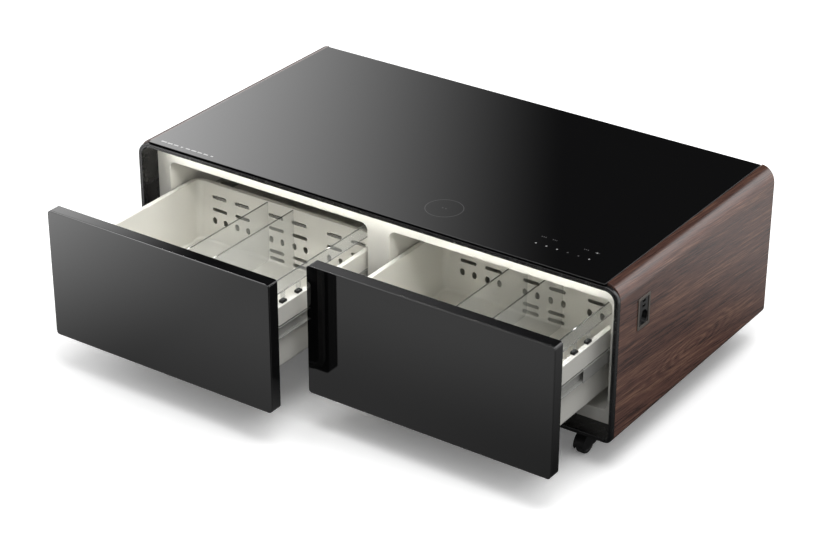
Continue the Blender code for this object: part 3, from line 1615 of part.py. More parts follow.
def build_cabinet(table):
    """Pieces that stay put: shell, front, liners and foam."""
    piece("top_glass", top_glass(), BLACK_GLASS, table)
    piece("top_tray", top_tray(), BLACK_PLASTIC, table)
    piece("front_frame", front_frame(), BLACK_PAINT, table)
    piece("fascia", fascia(), WARM_WHITE, table)
    piece("insulation", insulation(), FOAM, table)
    piece("base_plate", base_plate(), ZINC_STEEL, table)
    piece("back_panel", back_panel(), BLACK_PAINT, table)
    for side, sign in SIDES:
        middle = (sign * DRAWER_X, 0, 0)
        piece(f"{side}_side_panel", side_panel(sign), WALNUT, table)
        piece(f"{side}_liner", liner(sign), WARM_WHITE, table, middle)
        piece(f"{side}_duct_cover", duct_cover(sign), WARM_WHITE, table, middle)


def build_cooling(table):
    """Compressor, coils and fans. Each fan turns about its own origin."""
    floor = INNER_LOW
    compressor_place = (HALF_LENGTH - COMPRESSOR_END_INSET, MACHINE_MIDDLE, floor)
    condenser_place = (CONDENSER_END_INSET - HALF_LENGTH, MACHINE_MIDDLE, floor)
    shroud_place = (SHROUD_END_INSET - HALF_LENGTH, MACHINE_MIDDLE, floor)
    fan_x = shroud_place[0] + FAN_MOTOR_LENGTH + GAP + FAN_HUB_LENGTH / 2
    blower_back = CHAMBER_BACK - GAP
    blower_disc = blower_back - BLOWER_PLATE_THICK - BLOWER_MOTOR_LENGTH - GAP
    piece("compressor", compressor(), BLACK_PAINT, table, compressor_place)
    piece("condenser", condenser(), ALUMINIUM, table, condenser_place)
    piece("condenser_fan_shroud", condenser_fan_shroud(), BLACK_PLASTIC, table, shroud_place)
    piece("condenser_fan", condenser_fan(), BLACK_PLASTIC, table, (fan_x, MACHINE_MIDDLE, floor + fan_z()))
    piece("evaporator", evaporator(), ALUMINIUM, table)
    piece("evaporator_fan_motor", evaporator_fan_motor(), ZINC_STEEL, table, (0, blower_back, blower_z()))
    piece("evaporator_fan", evaporator_fan(), WARM_WHITE, table, (0, blower_disc, blower_z()))


def build_electrics(table):
    """Boards, charger, socket and mains inlet."""
    board_back = CHAMBER_BACK + CHAMBER_FOAM + GAP
    board_low = (CHAMBER_FLOOR + CHAMBER_CEILING - BOARD_HEIGHT) / 2
    piece("control_board", control_board(), BOARD_GREEN, table, (0, board_back, board_low))
    piece("touch_board", touch_board(), BOARD_GREEN, table)
    piece("charging_coil", charging_coil(), COPPER, table)
    piece("socket_frame", socket_frame(), BLACK_PLASTIC, table)
    piece("socket_insert", socket_insert(), BLACK_PLASTIC, table)
    piece("power_inlet", power_inlet(), BLACK_PLASTIC, table)


def build_casters(table):
    """Four swivel casters: each fork turns about its stem, and each wheel about its axle."""
    for name, x, y in caster_places():
        swivel = empty(f"{name}_swivel", (x, y, 0), table)
        piece(f"{name}_fork", caster_fork(), BLACK_PLASTIC, swivel)
        piece(f"{name}_wheel", caster_wheel(), BLACK_RUBBER, swivel, (0, -CASTER_TRAIL, WHEEL_RADIUS))


def build_drawer(table, side, sign, drawn, dividers, first_leg):
    """One drawer drawn out by a distance, with its slides. The middle rails come half as far."""
    name = f"{side}_drawer"
    middle = sign * DRAWER_X
    shut = empty(f"{name}_opening", (middle, 0, 0), table)
    half_way = empty(f"{name}_middle_slide", (0, -drawn / 2, 0), shut)
    slide = empty(f"{name}_slide", (0, -drawn, 0), shut)
    piece(f"{name}_glass", door_glass(), BLACK_GLASS, slide)
    piece(f"{name}_door", door_body(), BLACK_PAINT, slide)
    piece(f"{name}_gasket", gasket(), GREY_RUBBER, slide)
    piece(f"{name}_box", drawer_box(), WARM_WHITE, slide)
    piece(f"{name}_gallery", gallery(first_leg), CLEAR_PLATE, slide)
    for hand, place in zip(("left", "right"), dividers):
        piece(f"{name}_{hand}_divider", divider(place), CLEAR_PLATE, slide)
    for hand, way in SIDES:
        for kind, carrier in (("cabinet", shut), ("middle", half_way), ("box", slide)):
            piece(f"{name}_{hand}_{kind}_rail", rail(kind, way), ZINC_STEEL, carrier)


def main():
    """Builds the whole table under one empty."""
    clear_scene()
    table = empty("table", (STAND_X, STAND_Y, 0))
    build_cabinet(table)
    build_cooling(table)
    build_electrics(table)
    build_casters(table)
    build_drawer(table, "left", -1, LEFT_OPEN, LEFT_BOX_DIVIDERS, LEFT_GALLERY_LEG)
    build_drawer(table, "right", 1, RIGHT_OPEN, RIGHT_BOX_DIVIDERS, RIGHT_GALLERY_LEG)


main()
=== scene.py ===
import functools
import math

import bpy
import numpy as np
from mathutils import Matrix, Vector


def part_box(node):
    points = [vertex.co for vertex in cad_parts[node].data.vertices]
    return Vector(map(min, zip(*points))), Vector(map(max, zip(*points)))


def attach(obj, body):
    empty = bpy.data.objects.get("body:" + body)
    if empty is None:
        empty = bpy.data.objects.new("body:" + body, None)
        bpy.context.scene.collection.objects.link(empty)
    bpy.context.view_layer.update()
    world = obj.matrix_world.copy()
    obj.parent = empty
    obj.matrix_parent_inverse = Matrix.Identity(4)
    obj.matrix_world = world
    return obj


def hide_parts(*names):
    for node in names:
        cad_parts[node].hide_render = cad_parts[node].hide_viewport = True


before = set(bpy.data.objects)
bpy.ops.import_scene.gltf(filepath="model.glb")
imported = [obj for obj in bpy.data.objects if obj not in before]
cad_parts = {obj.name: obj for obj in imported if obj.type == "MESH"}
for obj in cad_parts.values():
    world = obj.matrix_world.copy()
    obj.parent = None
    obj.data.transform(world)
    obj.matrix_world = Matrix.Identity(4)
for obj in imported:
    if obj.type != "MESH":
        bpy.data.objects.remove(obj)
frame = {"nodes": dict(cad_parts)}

bl_info = {
    "name": "Coffee table with fridge drawers",
    "version": (1, 0, 0),
    "blender": (4, 5, 0),
    "location": "3D View > Sidebar > Table",
    "description": "Dresses the packed frame of a coffee table whose front holds two fridge drawers",
    "category": "Add Mesh",
}

SIDES = (("left", -1), ("right", 1))
CASTERS = ("front_left", "front_right", "back_left", "back_right")

# Least distance between two points of an outline
LEAST = 0.0001
# Clearance between pieces that meet
GAP = 0.0003
# How far a cutter reaches past a face
BEYOND = 0.01
# How far inside a rounded edge the flat has a ring of its own, in the edge's radii
FLAT = 1.6


def number(name, description, default, **settings):
    """A number that a user may change, or a few that belong together."""
    kind = bpy.props.FloatProperty
    if isinstance(default, tuple):
        kind, settings["size"] = bpy.props.FloatVectorProperty, len(default)
    return kind(name=name, description=description, default=default, **settings)


# A length or a place in metres, and a linear colour
length = functools.partial(number, unit="LENGTH", precision=5)
colour = functools.partial(number, subtype="COLOR", min=0, max=1)


def named(kind, **rows):
    """Settings of one kind from their descriptions and defaults, each with its own key as its name."""
    return {key: kind(key.replace("_", " ").capitalize(), *row) for key, row in rows.items()}


class TableSizes(bpy.types.PropertyGroup):
    """Radii and details that the frame's boxes don't give."""

    __annotations__ = named(
        length,
        top_corner=("Radius of the case's upper corners", 0.034),
        bottom_corner=("Radius of the case's lower corners", 0.018),
        sheet=("Thickness of the bent end panels", 0.007),
        sheet_rise=("How much higher the end panels stand beside the glass", 0.005),
        shell_inset=("From the case's outside to what fits in it", 0.0073),
        top_lap=("Flat of an end panel under the glass", 0.012),
        bottom_lap=("Flat of an end panel under the case", 0.032),
        lip=("Depth of the black rim's lip", 0.0106),
        rim_width=("Width of the black rim", 0.0103),
        rim_round=("Rounding of the black rim's edges", 0.0024),
        rim_groove=("Width and depth of the groove along the rim's face", (0.0018, 0.0014)),
        glass_corner=("Corner radius of the top glass", 0.003),
        glass_edge=("Ground edge of the top glass", 0.0008),
        opening_low=("An opening's low left corner, from its middle and the case's foot", (-0.287, 0.0414)),
        opening_high=("An opening's high right corner, from the same", (0.287, 0.3113)),
        opening_corner=("Corner radius of a drawer opening", 0.018),
        opening_round=("Rounding of the white front round each opening", 0.0012),
        liner_wall=("Thickness of a liner", 0.0025),
        liner_flange=("Width of a liner's front flange", 0.008),
        liner_fillet=("Rounding inside a liner's rear", 0.008),
        duct=("Width and height of the cold air opening", (0.180, 0.200)),
        duct_start=("From a liner's inner side and floor to that opening", (0.030, 0.038)),
        door_corner=("Corner radius of a drawer front", 0.008),
        door_edge=("Ground edge of a drawer front", 0.001),
        seal_lap=("From the opening to the seal", 0.0035),
        seal_width=("Width of the seal", 0.014),
        seal_groove=("Depth of the groove round the seal", 0.0025),
        box_corner=("Corner radius of a drawer box", 0.030),
        box_rim=("Width of a drawer box's rim", 0.0125),
        box_wall=("Thickness of a drawer box's walls", 0.0025),
        box_fillet=("Rounding between a box's floor and walls", 0.008),
        box_apron=("Height of the apron under a box's rim", 0.045),
        box_edge=("Rounding along a box's rim", 0.0015),
        slot_size=("Length and height of a vent slot", (0.044, 0.0095)),
        hole_size=("Width and height of an upright vent hole", (0.0125, 0.0175)),
        pair_pitch=("Between the two slots of a group", 0.0685),
        group_pitch=("Between groups of slots", 0.1705),
        hole_pitch=("Between upright holes", 0.033),
        clip=("Length and height of a gallery clip", (0.014, 0.0065)),
        clip_pitch=("Between the gallery's clips", 0.055),
        clip_start=("From the left and the right box's front to its first clip", (0.068, 0.115)),
        wheel_radius=("Radius of a caster's wheel", 0.025),
        wheel_width=("Width of a caster's wheel", 0.020),
        wheel_bore=("Radius of a wheel's bore", 0.0041),
        hub=("Radius of a wheel's hub", 0.0078),
        tyre=("Radius at which a wheel's tyre begins", 0.018),
        web_sink=("How deep a wheel's web lies between hub and tyre", 0.0022),
        axle=("Radius and half the length of a caster's axle", (0.004, 0.0075)),
        trail=("From a caster's swivel to its axle", 0.020),
        hood_gap=("From a wheel to the hood over it", 0.0015),
        hood=("Thickness of a caster's hood", 0.003),
        cheek=("Thickness of a caster's cheeks", 0.0025),
        cheek_gap=("From a wheel to the cheeks", 0.001),
        skirt=("From the axle down to the cheeks' edge", 0.008),
        race=("Radius and thickness of a caster's swivel race", (0.019, 0.005)),
        neck=("Radius of a caster's neck", 0.012),
        stem=("Radius and length of a caster's stem", (0.005, 0.005)),
        socket_rim=("Width of the socket's bezel", 0.006),
        socket_sleeve=("Thickness of the sleeve in the panel", 0.0015),
        socket_corner=("Corner radius of the socket's bezel", 0.004),
        outlet=("Radius and depth of the round outlet", (0.0165, 0.006)),
        port=("Width, height and depth of a charging port", (0.013, 0.0055, 0.009)),
        port_pitch=("Between the charging ports", 0.012),
        pin=("Width, height and depth of a pin slot", (0.0022, 0.0065, 0.012)),
        pin_pitch=("Between the pin slots", 0.0127),
        charger=("Middle of the charging ring, from the case's middle and front", (0.146, 0.104)),
        charger_radius=("Radius of the charging ring", 0.043),
        touch=("First touch mark, from the case's middle and front", (0.3995, 0.078)),
        touch_pitch=("Between touch marks", 0.0265),
        touch_rise=("From the touch row to the labels behind it", 0.034),
        dashes=("Start and end of the row of small marks, from the case's middle", (-0.594, -0.434)),
        dash_row=("Small marks' distance from the case's front", 0.020),
    )


class TableColours(bpy.types.PropertyGroup):
    """Linear colours of the finishes."""

    __annotations__ = named(
        colour,
        glass=("Glass printed black on its back", (0.0028, 0.0028, 0.003)),
        mark=("Print on the glass", (0.42, 0.42, 0.42)),
        wood_dark=("Dark streaks of the walnut", (0.050, 0.025, 0.021)),
        wood_mid=("Middle tone of the walnut", (0.148, 0.070, 0.053)),
        wood_light=("Light streaks of the walnut", (0.305, 0.160, 0.106)),
        gloss=("Black lacquer", (0.0035, 0.0035, 0.0038)),
        black=("Satin black paint", (0.012, 0.012, 0.0125)),
        moulded=("Black plastic", (0.007, 0.007, 0.0075)),
        bezel=("Grey-brown plastic", (0.10, 0.085, 0.072)),
        white=("White plastic", (0.815, 0.803, 0.75)),
        seal=("Soft grey rubber", (0.20, 0.20, 0.195)),
        rubber=("Black rubber", (0.017, 0.017, 0.017)),
        foam=("Foam", (0.78, 0.69, 0.48)),
        zinc=("Zinc-plated steel", (0.46, 0.46, 0.44)),
        aluminium=("Plain aluminium", (0.76, 0.765, 0.77)),
        board=("Circuit board", (0.03, 0.16, 0.07)),
        copper=("Copper wire", (0.72, 0.33, 0.16)),
        clear=("Clear sheet seen through its faces", (0.62, 0.64, 0.63)),
        clear_edge=("Clear sheet seen along its edge", (0.055, 0.058, 0.055)),
    )


class TableStage(bpy.types.PropertyGroup):
    """Camera, floor and light."""

    camera: length("Camera", "Where the camera stands", (2.69279, -3.90845, 2.73267))
    turn: number(
        "Turn", "Pitch, roll and turn of the camera",
        (math.radians(-28.1602), math.radians(-0.131), math.radians(-34.6013)), subtype="EULER",
    )
    lens: number("Lens", "Focal length in mm", 102.206)
    sensor: number("Sensor", "Sensor width in mm", 36.0)
    floor: length("Floor", "Side of the floor", 40.0)
    floor_tone: number("Floor tone", "How much light the floor throws back at the table", 0.09)
    backdrop: number("Backdrop", "Floor as the camera sees it", 1.16)
    haze: number("Haze", "How far the floor's shadows are lifted", 0.08)
    ambient: number("Ambient", "Light from all round", 0.80)
    lamp: length("Lamp", "Where the lamp hangs", (0.9, -0.5, 4.2))
    target: length("Target", "What the lamp faces", (0.0, -0.2, 0.1))
    lamp_size: length("Lamp size", "Side of the square lamp", 3.0)
    lamp_power: number("Lamp power", "Power of the lamp", 104.0, unit="POWER")


def sizes():
    """The scene's table sizes."""
    return bpy.context.scene.table_sizes


# Surfaces


def rounded(low, high, radii, steps=10):
    """Plane points anticlockwise round a rectangle. Each corner is a quarter circle: its centre plus
    the radius times (cos t, sin t), t running a quarter turn in equal steps from the corner's own start."""
    (a, b), (c, d) = low, high
    radii = np.broadcast_to(np.asarray(radii, float), 4)
    corners = np.array([(a, b), (c, b), (c, d), (a, d)])
    inward = np.array([(1, 1), (-1, 1), (-1, -1), (1, -1)])
    angle = math.pi + np.arange(4)[:, None] * math.pi / 2 + np.linspace(0, math.pi / 2, steps + 1)
    ring = np.stack((np.cos(angle), np.sin(angle)), -1)
    return ((corners + inward * radii[:, None])[:, None] + radii[:, None, None] * ring).reshape(-1, 2)


def plan(box, axis, step_in, radii, steps=10, least=0.002):
    """Outline of a box along an axis, set in all round, its corner radii less by as much, down to a least."""
    low, high = (np.delete(corner, axis) for corner in box)
    return rounded(low + step_in, high - step_in, np.maximum(np.array(radii) - step_in, least), steps)


def square(middle, size, radius, steps=6):
    """Rounded rectangle about its middle."""
    middle, half = np.array(middle, float), np.array(size, float) / 2
    return rounded(middle - half, middle + half, min(radius, half.min() - LEAST / 10), steps)


def disc(middle, radius, steps=48):
    """Plane points anticlockwise round a circle: the middle plus the radius times (cos t, sin t)."""
    angle = np.arange(steps) * 2 * math.pi / steps
    return np.array(middle) + radius * np.stack((np.cos(angle), np.sin(angle)), -1)


def quarter(corner, radii, count=6, back=False):
    """Quarter circle by a corner: the corner plus the radii times (1 - sin t, 1 - cos t), t running over a
    quarter turn. It can be walked back."""
    t = np.linspace(0, math.pi / 2, count)
    curve = np.array(corner) + np.array(radii) * np.stack((1 - np.sin(t), 1 - np.cos(t)), -1)
    return curve[::-1] if back else curve


def inset(outline, step_in):
    """A closed outline moved inward so that its sides move in parallel: each point goes along the sum
    of its two sides' inward normals, over one plus the cosine between them."""
    before = outline - np.roll(outline, 1, 0)
    after = np.roll(outline, -1, 0) - outline
    normals = []
    for side in (before, after):
        side = side / np.linalg.norm(side, axis=1, keepdims=True)
        normals.append(np.stack((-side[:, 1], side[:, 0]), -1))
    cosine = (normals[0] * normals[1]).sum(1, keepdims=True)
    area = (outline[:, 0] * np.roll(outline[:, 1], -1) - np.roll(outline[:, 0], -1) * outline[:, 1]).sum()
    return outline + math.copysign(step_in, area) * (normals[0] + normals[1]) / (1 + cosine)


def fillet(corners, radii, steps=4):
    """A closed polygon with rounded corners: each is the curve (1-t)^2 A + 2t(1-t) C + t^2 B from A to B,
    the points at the corner's radius along its two sides."""
    corners = np.array(corners, float)
    radii = np.maximum(np.array(radii, float), LEAST)[:, None]
    to_last = np.roll(corners, 1, 0) - corners
    to_next = np.roll(corners, -1, 0) - corners
    a = corners + radii * to_last / np.linalg.norm(to_last, axis=1, keepdims=True)
    b = corners + radii * to_next / np.linalg.norm(to_next, axis=1, keepdims=True)
    t = np.linspace(0, 1, steps + 1)[:, None]
    curve = (1 - t) ** 2 * a[:, None] + 2 * t * (1 - t) * corners[:, None] + t ** 2 * b[:, None]
    return curve.reshape(-1, 2)


def band(path, ribbon):
    """A closed strip: the path, then the ribbon beside it walked back."""
    return np.concatenate((path, ribbon[::-1]))


def lift(points, axis, level):
    """Plane points as points in space, at a level along one axis and in order on the other two."""
    return np.insert(np.asarray(points, float), axis, level, axis=-1)


def hoop(shape, profile, axis, wrap=True):
    """Rings along a profile of (inset, level) points: ring k is the shape at inset k, lifted to level k."""
    return np.array([lift(shape(a), axis, b) for a, b in profile]), wrap


def prism(outline, axis, low, high, edge=2 * LEAST, count=4):
    """Rings along a straight body: its outline, set in by a quarter circle's distances at both ends, with one
    more ring on each end's flat."""
    profile = [
        (FLAT * edge, low), *quarter((0, low), (edge, edge), count),
        *quarter((0, high), (edge, -edge), count, True), (FLAT * edge, high),
    ]
    return hoop(lambda step_in: inset(outline, step_in), profile, axis, False)


def spun(profile, middle, axis, steps=48, wrap=False):
    """Rings of a turned body from (radius, level) points: ring k is a circle of radius k about the axis
    through the middle, at level k."""
    flat = np.delete(np.asarray(middle, float), axis)
    rings = [lift(disc(flat, max(r, LEAST), steps), axis, middle[axis] + z) for r, z in profile]
    return np.array(rings), wrap


def place(name, data):
    """A new object in the scene."""
    thing = bpy.data.objects.new(name, data)
    bpy.context.scene.collection.objects.link(thing)
    return thing


def shade(mesh, sharp=35.0):
    """Smooth shading, but for edges sharper than an angle in degrees."""
    mesh.shade_smooth()
    mesh.set_sharp_from_angle(angle=math.radians(sharp))


def signed_volume(points, quads):
    """Sum over the faces of a shell of a . (b x c) / 6, from its middle, each quad as two triangles."""
    points = points - points.mean(0)
    a, b, c, d = (points[quads[:, k]] for k in range(4))
    return float(((a * np.cross(b, c)).sum() + (a * np.cross(c, d)).sum()) / 6)


def build(name, grids, sharp=35.0):
    """One mesh from grids of rings. In a grid of S rings of N points, point (s, n) joins (s, n+1), (s+1, n+1)
    and (s+1, n) in a face. The ends are capped, or joined to each other where the grid wraps. A shell that
    encloses a negative volume has its faces turned over."""
    points, faces, start = [], [], 0
    for rings, wrap in grids:
        count, around = rings.shape[:2]
        s, n = np.meshgrid(np.arange(count if wrap else count - 1), np.arange(around), indexing="ij")
        t, m = (s + 1) % count, (n + 1) % around
        quads = np.stack((s * around + n, s * around + m, t * around + m, t * around + n), -1).reshape(-1, 4)
        shell = quads.tolist()
        if not wrap:
            shell += [list(range(around))[::-1], list(range((count - 1) * around, count * around))]
        if signed_volume(rings.reshape(-1, 3), quads) < 0:
            shell = [face[::-1] for face in shell]
        faces += [[start + index for index in face] for face in shell]
        points.append(rings.reshape(-1, 3))
        start += count * around
    mesh = bpy.data.meshes.new(name)
    mesh.from_pydata(np.concatenate(points).tolist(), [], faces)
    mesh.validate()
    shade(mesh, sharp)
    return place(name, mesh)


def cut(piece, grids):
    """Takes closed shells out of a piece, for good."""
    cutter = build("cutter", grids)
    change = piece.modifiers.new("Cut", "BOOLEAN")
    change.operation, change.solver, change.object = "DIFFERENCE", "EXACT", cutter
    bpy.context.view_layer.update()
    piece_now = piece.evaluated_get(bpy.context.evaluated_depsgraph_get())
    result = bpy.data.meshes.new_from_object(piece_now)
    piece.modifiers.clear()
    piece.data = result
    bpy.data.objects.remove(cutter)
    shade(result)
    if not result.polygons:
        raise ValueError(f"{piece.name}: nothing is left after the cut")


def dress(piece, kind, body, *nodes):
    """Evens the piece's normals, gives it its finish and its body, and lets it stand for CAD nodes."""
    piece.modifiers.new("Even normals", "WEIGHTED_NORMAL").keep_sharp = True
    paint(piece, kind)
    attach(piece, body)
    if nodes:
        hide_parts(*nodes)


# Materials


def operator(name, reflected=False):
    """A method that puts the Field and what it is given in a Math node, in reflected order where asked."""
    def method(self, *others):
        values = (self, *others)[::-1] if reflected else (self, *others)
        return Field.of(self.socket.id_data, "ShaderNodeMath", dict(enumerate(values)), operation=name)
    return method


class Field:
    """A node's output. Python's operators on it add Math nodes."""

    def __init__(self, socket):
        self.socket = socket

    @staticmethod
    def of(tree, kind, inputs=None, output=0, **settings):
        """Adds any node: its settings first, then its sockets, each given a value or a Field. Three numbers
        of a colour get their alpha."""
        node = tree.nodes.new(kind)
        for name, value in settings.items():
            setattr(node, name, value)
        for name, value in (inputs or {}).items():
            entry = node.inputs[name]
            if isinstance(value, Field):
                tree.links.new(value.socket, entry)
            else:
                entry.default_value = (*value, 1.0) if entry.type == "RGBA" else value
        return Field(node.outputs[output]) if node.outputs else None

    __add__, __radd__ = operator("ADD"), operator("ADD", True)
    __sub__, __rsub__ = operator("SUBTRACT"), operator("SUBTRACT", True)
    __mul__, __rmul__ = operator("MULTIPLY"), operator("MULTIPLY", True)
    __truediv__, __rtruediv__ = operator("DIVIDE"), operator("DIVIDE", True)
    __pow__, __rpow__ = operator("POWER"), operator("POWER", True)
    __abs__, __round__, __floor__ = operator("ABSOLUTE"), operator("ROUND"), operator("FLOOR")
    at_least, at_most = operator("MAXIMUM"), operator("MINIMUM")
    sine, angle_from = operator("SINE"), operator("ARCTAN2")

    def ramp(self, low, high, start=0.0, end=1.0):
        """Eases from start to end while the value goes from low to high, and stays there."""
        inputs = {"Value": self, "From Min": low, "From Max": high, "To Min": start, "To Max": end}
        return Field.of(self.socket.id_data, "ShaderNodeMapRange", inputs, interpolation_type="SMOOTHSTEP")

    def near(self, middle, reach, soft=0.0003):
        """One within a reach of a value, zero beyond it, with a soft edge."""
        return abs(self - middle).ramp(reach - soft, reach + soft, 1.0, 0.0)

    def axes(self):
        """A vector's three coordinates."""
        return [Field.of(self.socket.id_data, "ShaderNodeSeparateXYZ", {0: self}, k) for k in range(3)]


def distance(across, along):
    """How far a point is from nought."""
    return (across * across + along * along) ** 0.5


def rays(tree):
    """Whether the camera looks at a point, and whether a gloss mirrors it."""
    return [Field.of(tree, "ShaderNodeLightPath", output=f"Is {kind} Ray") for kind in ("Camera", "Glossy")]


class Recipe:
    """A material made of nodes that read the mesh's own coordinates."""

    def __init__(self, name):
        self.material = bpy.data.materials.new(name)
        self.material.use_nodes = True
        self.tree = self.material.node_tree
        self.tree.nodes.clear()
        self.add = functools.partial(Field.of, self.tree)
        self.point = self.add("ShaderNodeTexCoord", output="Object")
        self.x, self.y, self.z = self.point.axes()

    def noise(self, where, detail=3.0, roughness=0.55):
        """Noise over three given coordinates, or over the object's own times a number."""
        own = not isinstance(where, tuple)
        vector = self.point if own else self.add("ShaderNodeCombineXYZ", dict(enumerate(where)))
        return self.add("ShaderNodeTexNoise", {
            "Vector": vector, "Scale": where if own else 1.0, "Detail": detail, "Roughness": roughness,
        })

    def blend(self, factor, first, second):
        """Colour between two colours."""
        return self.add("ShaderNodeMix", {0: factor, 6: first, 7: second}, 2, data_type="RGBA")

    def bump(self, height, depth):
        """Normals from a height of nought to one, raised by a depth."""
        return self.add("ShaderNodeBump", {"Strength": 1.0, "Distance": depth, "Height": height})

    def matt(self, tone):
        """A shader that scatters a grey share of the light."""
        return self.add("ShaderNodeBsdfDiffuse", {"Color": (tone, tone, tone)})

    def glow(self, strength):
        """A shader that sends out white light."""
        return self.add("ShaderNodeEmission", {"Color": (1.0, 1.0, 1.0), "Strength": strength})

    def surface(self, shader):
        """Joins a shader to the output and returns the material."""
        self.add("ShaderNodeOutputMaterial", {"Surface": shader})
        return self.material

    def principled(self, **inputs):
        """A Principled shader, its sockets named with underscores, joined to the output."""
        sockets = {name.replace("_", " "): value for name, value in inputs.items()}
        return self.surface(self.add("ShaderNodeBsdfPrincipled", sockets))


FINISHES = {}


def finish(title, slot=None):
    """Lists a function as the finish of its own name, with its material's title and the record's slot for the
    pieces that have it; the slot is kept but not used. The function gives the Principled shader's inputs from
    a recipe and the colours."""
    def keep(work):
        FINISHES[work.__name__] = title, slot, work
        return work
    return keep


@functools.cache
def look(name):
    """The material of a finish, made once."""
    title, _, work = FINISHES[name]
    recipe = Recipe(title)
    return recipe.principled(**work(recipe, bpy.context.scene.table_colours))


def paint(piece, kind):
    """Gives a piece or a CAD node a finish in place of what it has."""
    piece.data.materials.clear()
    piece.data.materials.append(look(kind))


def glass_marks(r):
    """Where the top glass is printed: the charging ring round two dots, touch dots before a row of labels,
    and a row of small marks of several lengths. The kinds are added, each times its brightness."""
    s = sizes()
    low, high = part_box("front_frame")
    x, y = r.x - (low[0] + high[0]) / 2, r.y - low[1]
    across, along = x - s.charger[0], y - s.charger[1]
    marks = distance(across, along).near(s.charger_radius, 0.0009, 0.0005) * 0.10
    marks = marks + distance(abs(across) - 0.0042, along).near(0.0, 0.0018, 0.0008) * 0.12
    place_in_row = (x - s.touch[0]) / s.touch_pitch
    nearest = (place_in_row - round(place_in_row)) * s.touch_pitch
    in_row = place_in_row.near(2.5, 2.75, 0.05)
    row, squash = y - s.touch[1], math.sqrt(0.7)
    dots = distance(nearest, row * squash).near(0.0, 0.0019, 0.0010) * in_row
    marks = marks + dots * (0.2 + 0.8 * abs(place_in_row - 3.6).ramp(0.7, 1.3)) * 0.75
    label = row - s.touch_rise
    fine = (x - s.touch[0]) / 0.0046
    dash = abs(fine - round(fine)).ramp(0.20, 0.32, 1.0, 0.0)
    tag = abs(nearest).ramp(0.0058, 0.0064, 1.0, 0.0) * abs(place_in_row - 2.5).ramp(1.2, 1.3) * in_row
    marks = marks + dash * tag * label.near(0.0, 0.0018, 0.0006) * 0.16
    last = distance(x - s.touch[0] - 5 * s.touch_pitch, label * squash)
    marks = marks + last.near(0.0, 0.0019, 0.0010) * 0.6
    reach = (s.dashes[1] - s.dashes[0]) / 2
    step = (x - s.dashes[0]) / (reach / 4.5)
    cell = math.floor(step)
    chance = r.add("ShaderNodeTexWhiteNoise", {"W": cell + 0.5}, noise_dimensions="1D")
    tick = (abs(step - cell - 0.5) - (0.14 + 0.3 * chance)).ramp(-0.03, 0.03, 1.0, 0.0)
    dashes = tick * x.near(s.dashes[0] + reach, reach) * (y - s.dash_row).near(0.0, 0.0022, 0.0006)
    return marks + dashes * 0.8


@finish("top glass", "black_glass")
def top_glass(r, c):
    """Glass printed black on its back, with its marks. Its polish ends at the ground edge."""
    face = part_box("top_glass")[1][2]
    tone, polish = r.blend(glass_marks(r), c.glass, c.mark), r.z.ramp(face - 0.0009, face - 0.0004)
    return dict(
        Base_Color=tone, Roughness=r.noise(9, 5).ramp(0.3, 0.8, 0.35, 0.45), Specular_IOR_Level=0.0,
        Coat_Weight=polish, Coat_Roughness=0.025, Coat_IOR=1.52,
    )


@finish("light strip", "warm_white")
def lamp(r, c):
    """Diffuser of the light strip, a little brighter over each of its small lamps."""
    step = r.x * 60
    over = abs(step - round(step)).ramp(0.0, 0.5, 1.0, 0.8)
    return dict(
        Base_Color=c.white, Roughness=0.5, Emission_Strength=30.0,
        Emission_Color=r.blend(over, (0.0, 0.0, 0.0), (1.0, 0.985, 0.94)),
    )


@finish("front glass", "black_glass")
def front_glass(r, c):
    """Glass printed black on its back."""
    return dict(Base_Color=c.glass, Roughness=r.noise(7, 5).ramp(0.3, 0.8, 0.03, 0.06), IOR=1.52)


@finish("walnut", "walnut")
def walnut(r, c):
    """Walnut foil. Its figure runs along the depth, and round the bend it goes by the distance across plus
    the drop, so that no streak widens there. A knot's arches show low down. By the glass a painted shade
    darkens the tone."""
    across = abs(r.x) - r.z - r.y * 0.09
    wave = r.noise((across * 9, r.y * 3.1, r.x), 2) - 0.5
    across = across + wave * 0.016
    broad = r.noise((across * 26, r.y * 1.3, r.x * 0.3), 3, 0.6)
    streak = r.noise((across * 120, r.y * 4.2, r.x * 0.3), 4, 0.62)
    fibre = r.noise((across * 380, r.y * 12, r.x), 3, 0.65)
    knot = distance(r.z - 0.155, (r.y - 0.16) * 0.22) + wave * 0.02
    arches = (knot * 720).sine() * knot.ramp(0.020, 0.062, 1.0, 0.0)
    tone = broad * 0.28 + streak * 0.30 + fibre * 0.42 + arches * 0.034
    base = r.blend(tone.ramp(0.39, 0.50), c.wood_dark, c.wood_mid)
    base = r.blend(tone.ramp(0.50, 0.61), base, c.wood_light)
    pores = r.noise((across * 1000, r.y * 17, r.x), 2, 0.5)
    base = r.blend(pores.ramp(0.53, 0.62, 0.0, 0.62), base, c.wood_dark)
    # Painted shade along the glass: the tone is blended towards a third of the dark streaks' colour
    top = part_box("right_side_panel")[1][2] + sizes().sheet_rise
    base = r.blend(r.z.ramp(top - 0.021, top - 0.001, 0.0, 0.62), base, c.wood_dark * 0.3)
    raised = r.bump(pores * 0.6 + fibre * 0.4, 0.00004)
    return dict(Base_Color=base, Roughness=0.18 + 0.10 * streak, IOR=1.46, Normal=raised)


@finish("gloss black", "black_plastic")
def gloss(r, c):
    """Black lacquer with a trace of dust."""
    return dict(Base_Color=c.gloss, Roughness=r.noise(60, 4).ramp(0.3, 0.8, 0.07, 0.14))


@finish("rim black", "black_paint")
def rim(r, c):
    """Black lacquer with a satin sheen."""
    dust = r.noise(60, 4)
    tone = r.blend(dust.ramp(0.4, 0.9), c.gloss, c.gloss * 1.5)
    return dict(Base_Color=tone, Roughness=dust.ramp(0.3, 0.8, 0.24, 0.30))


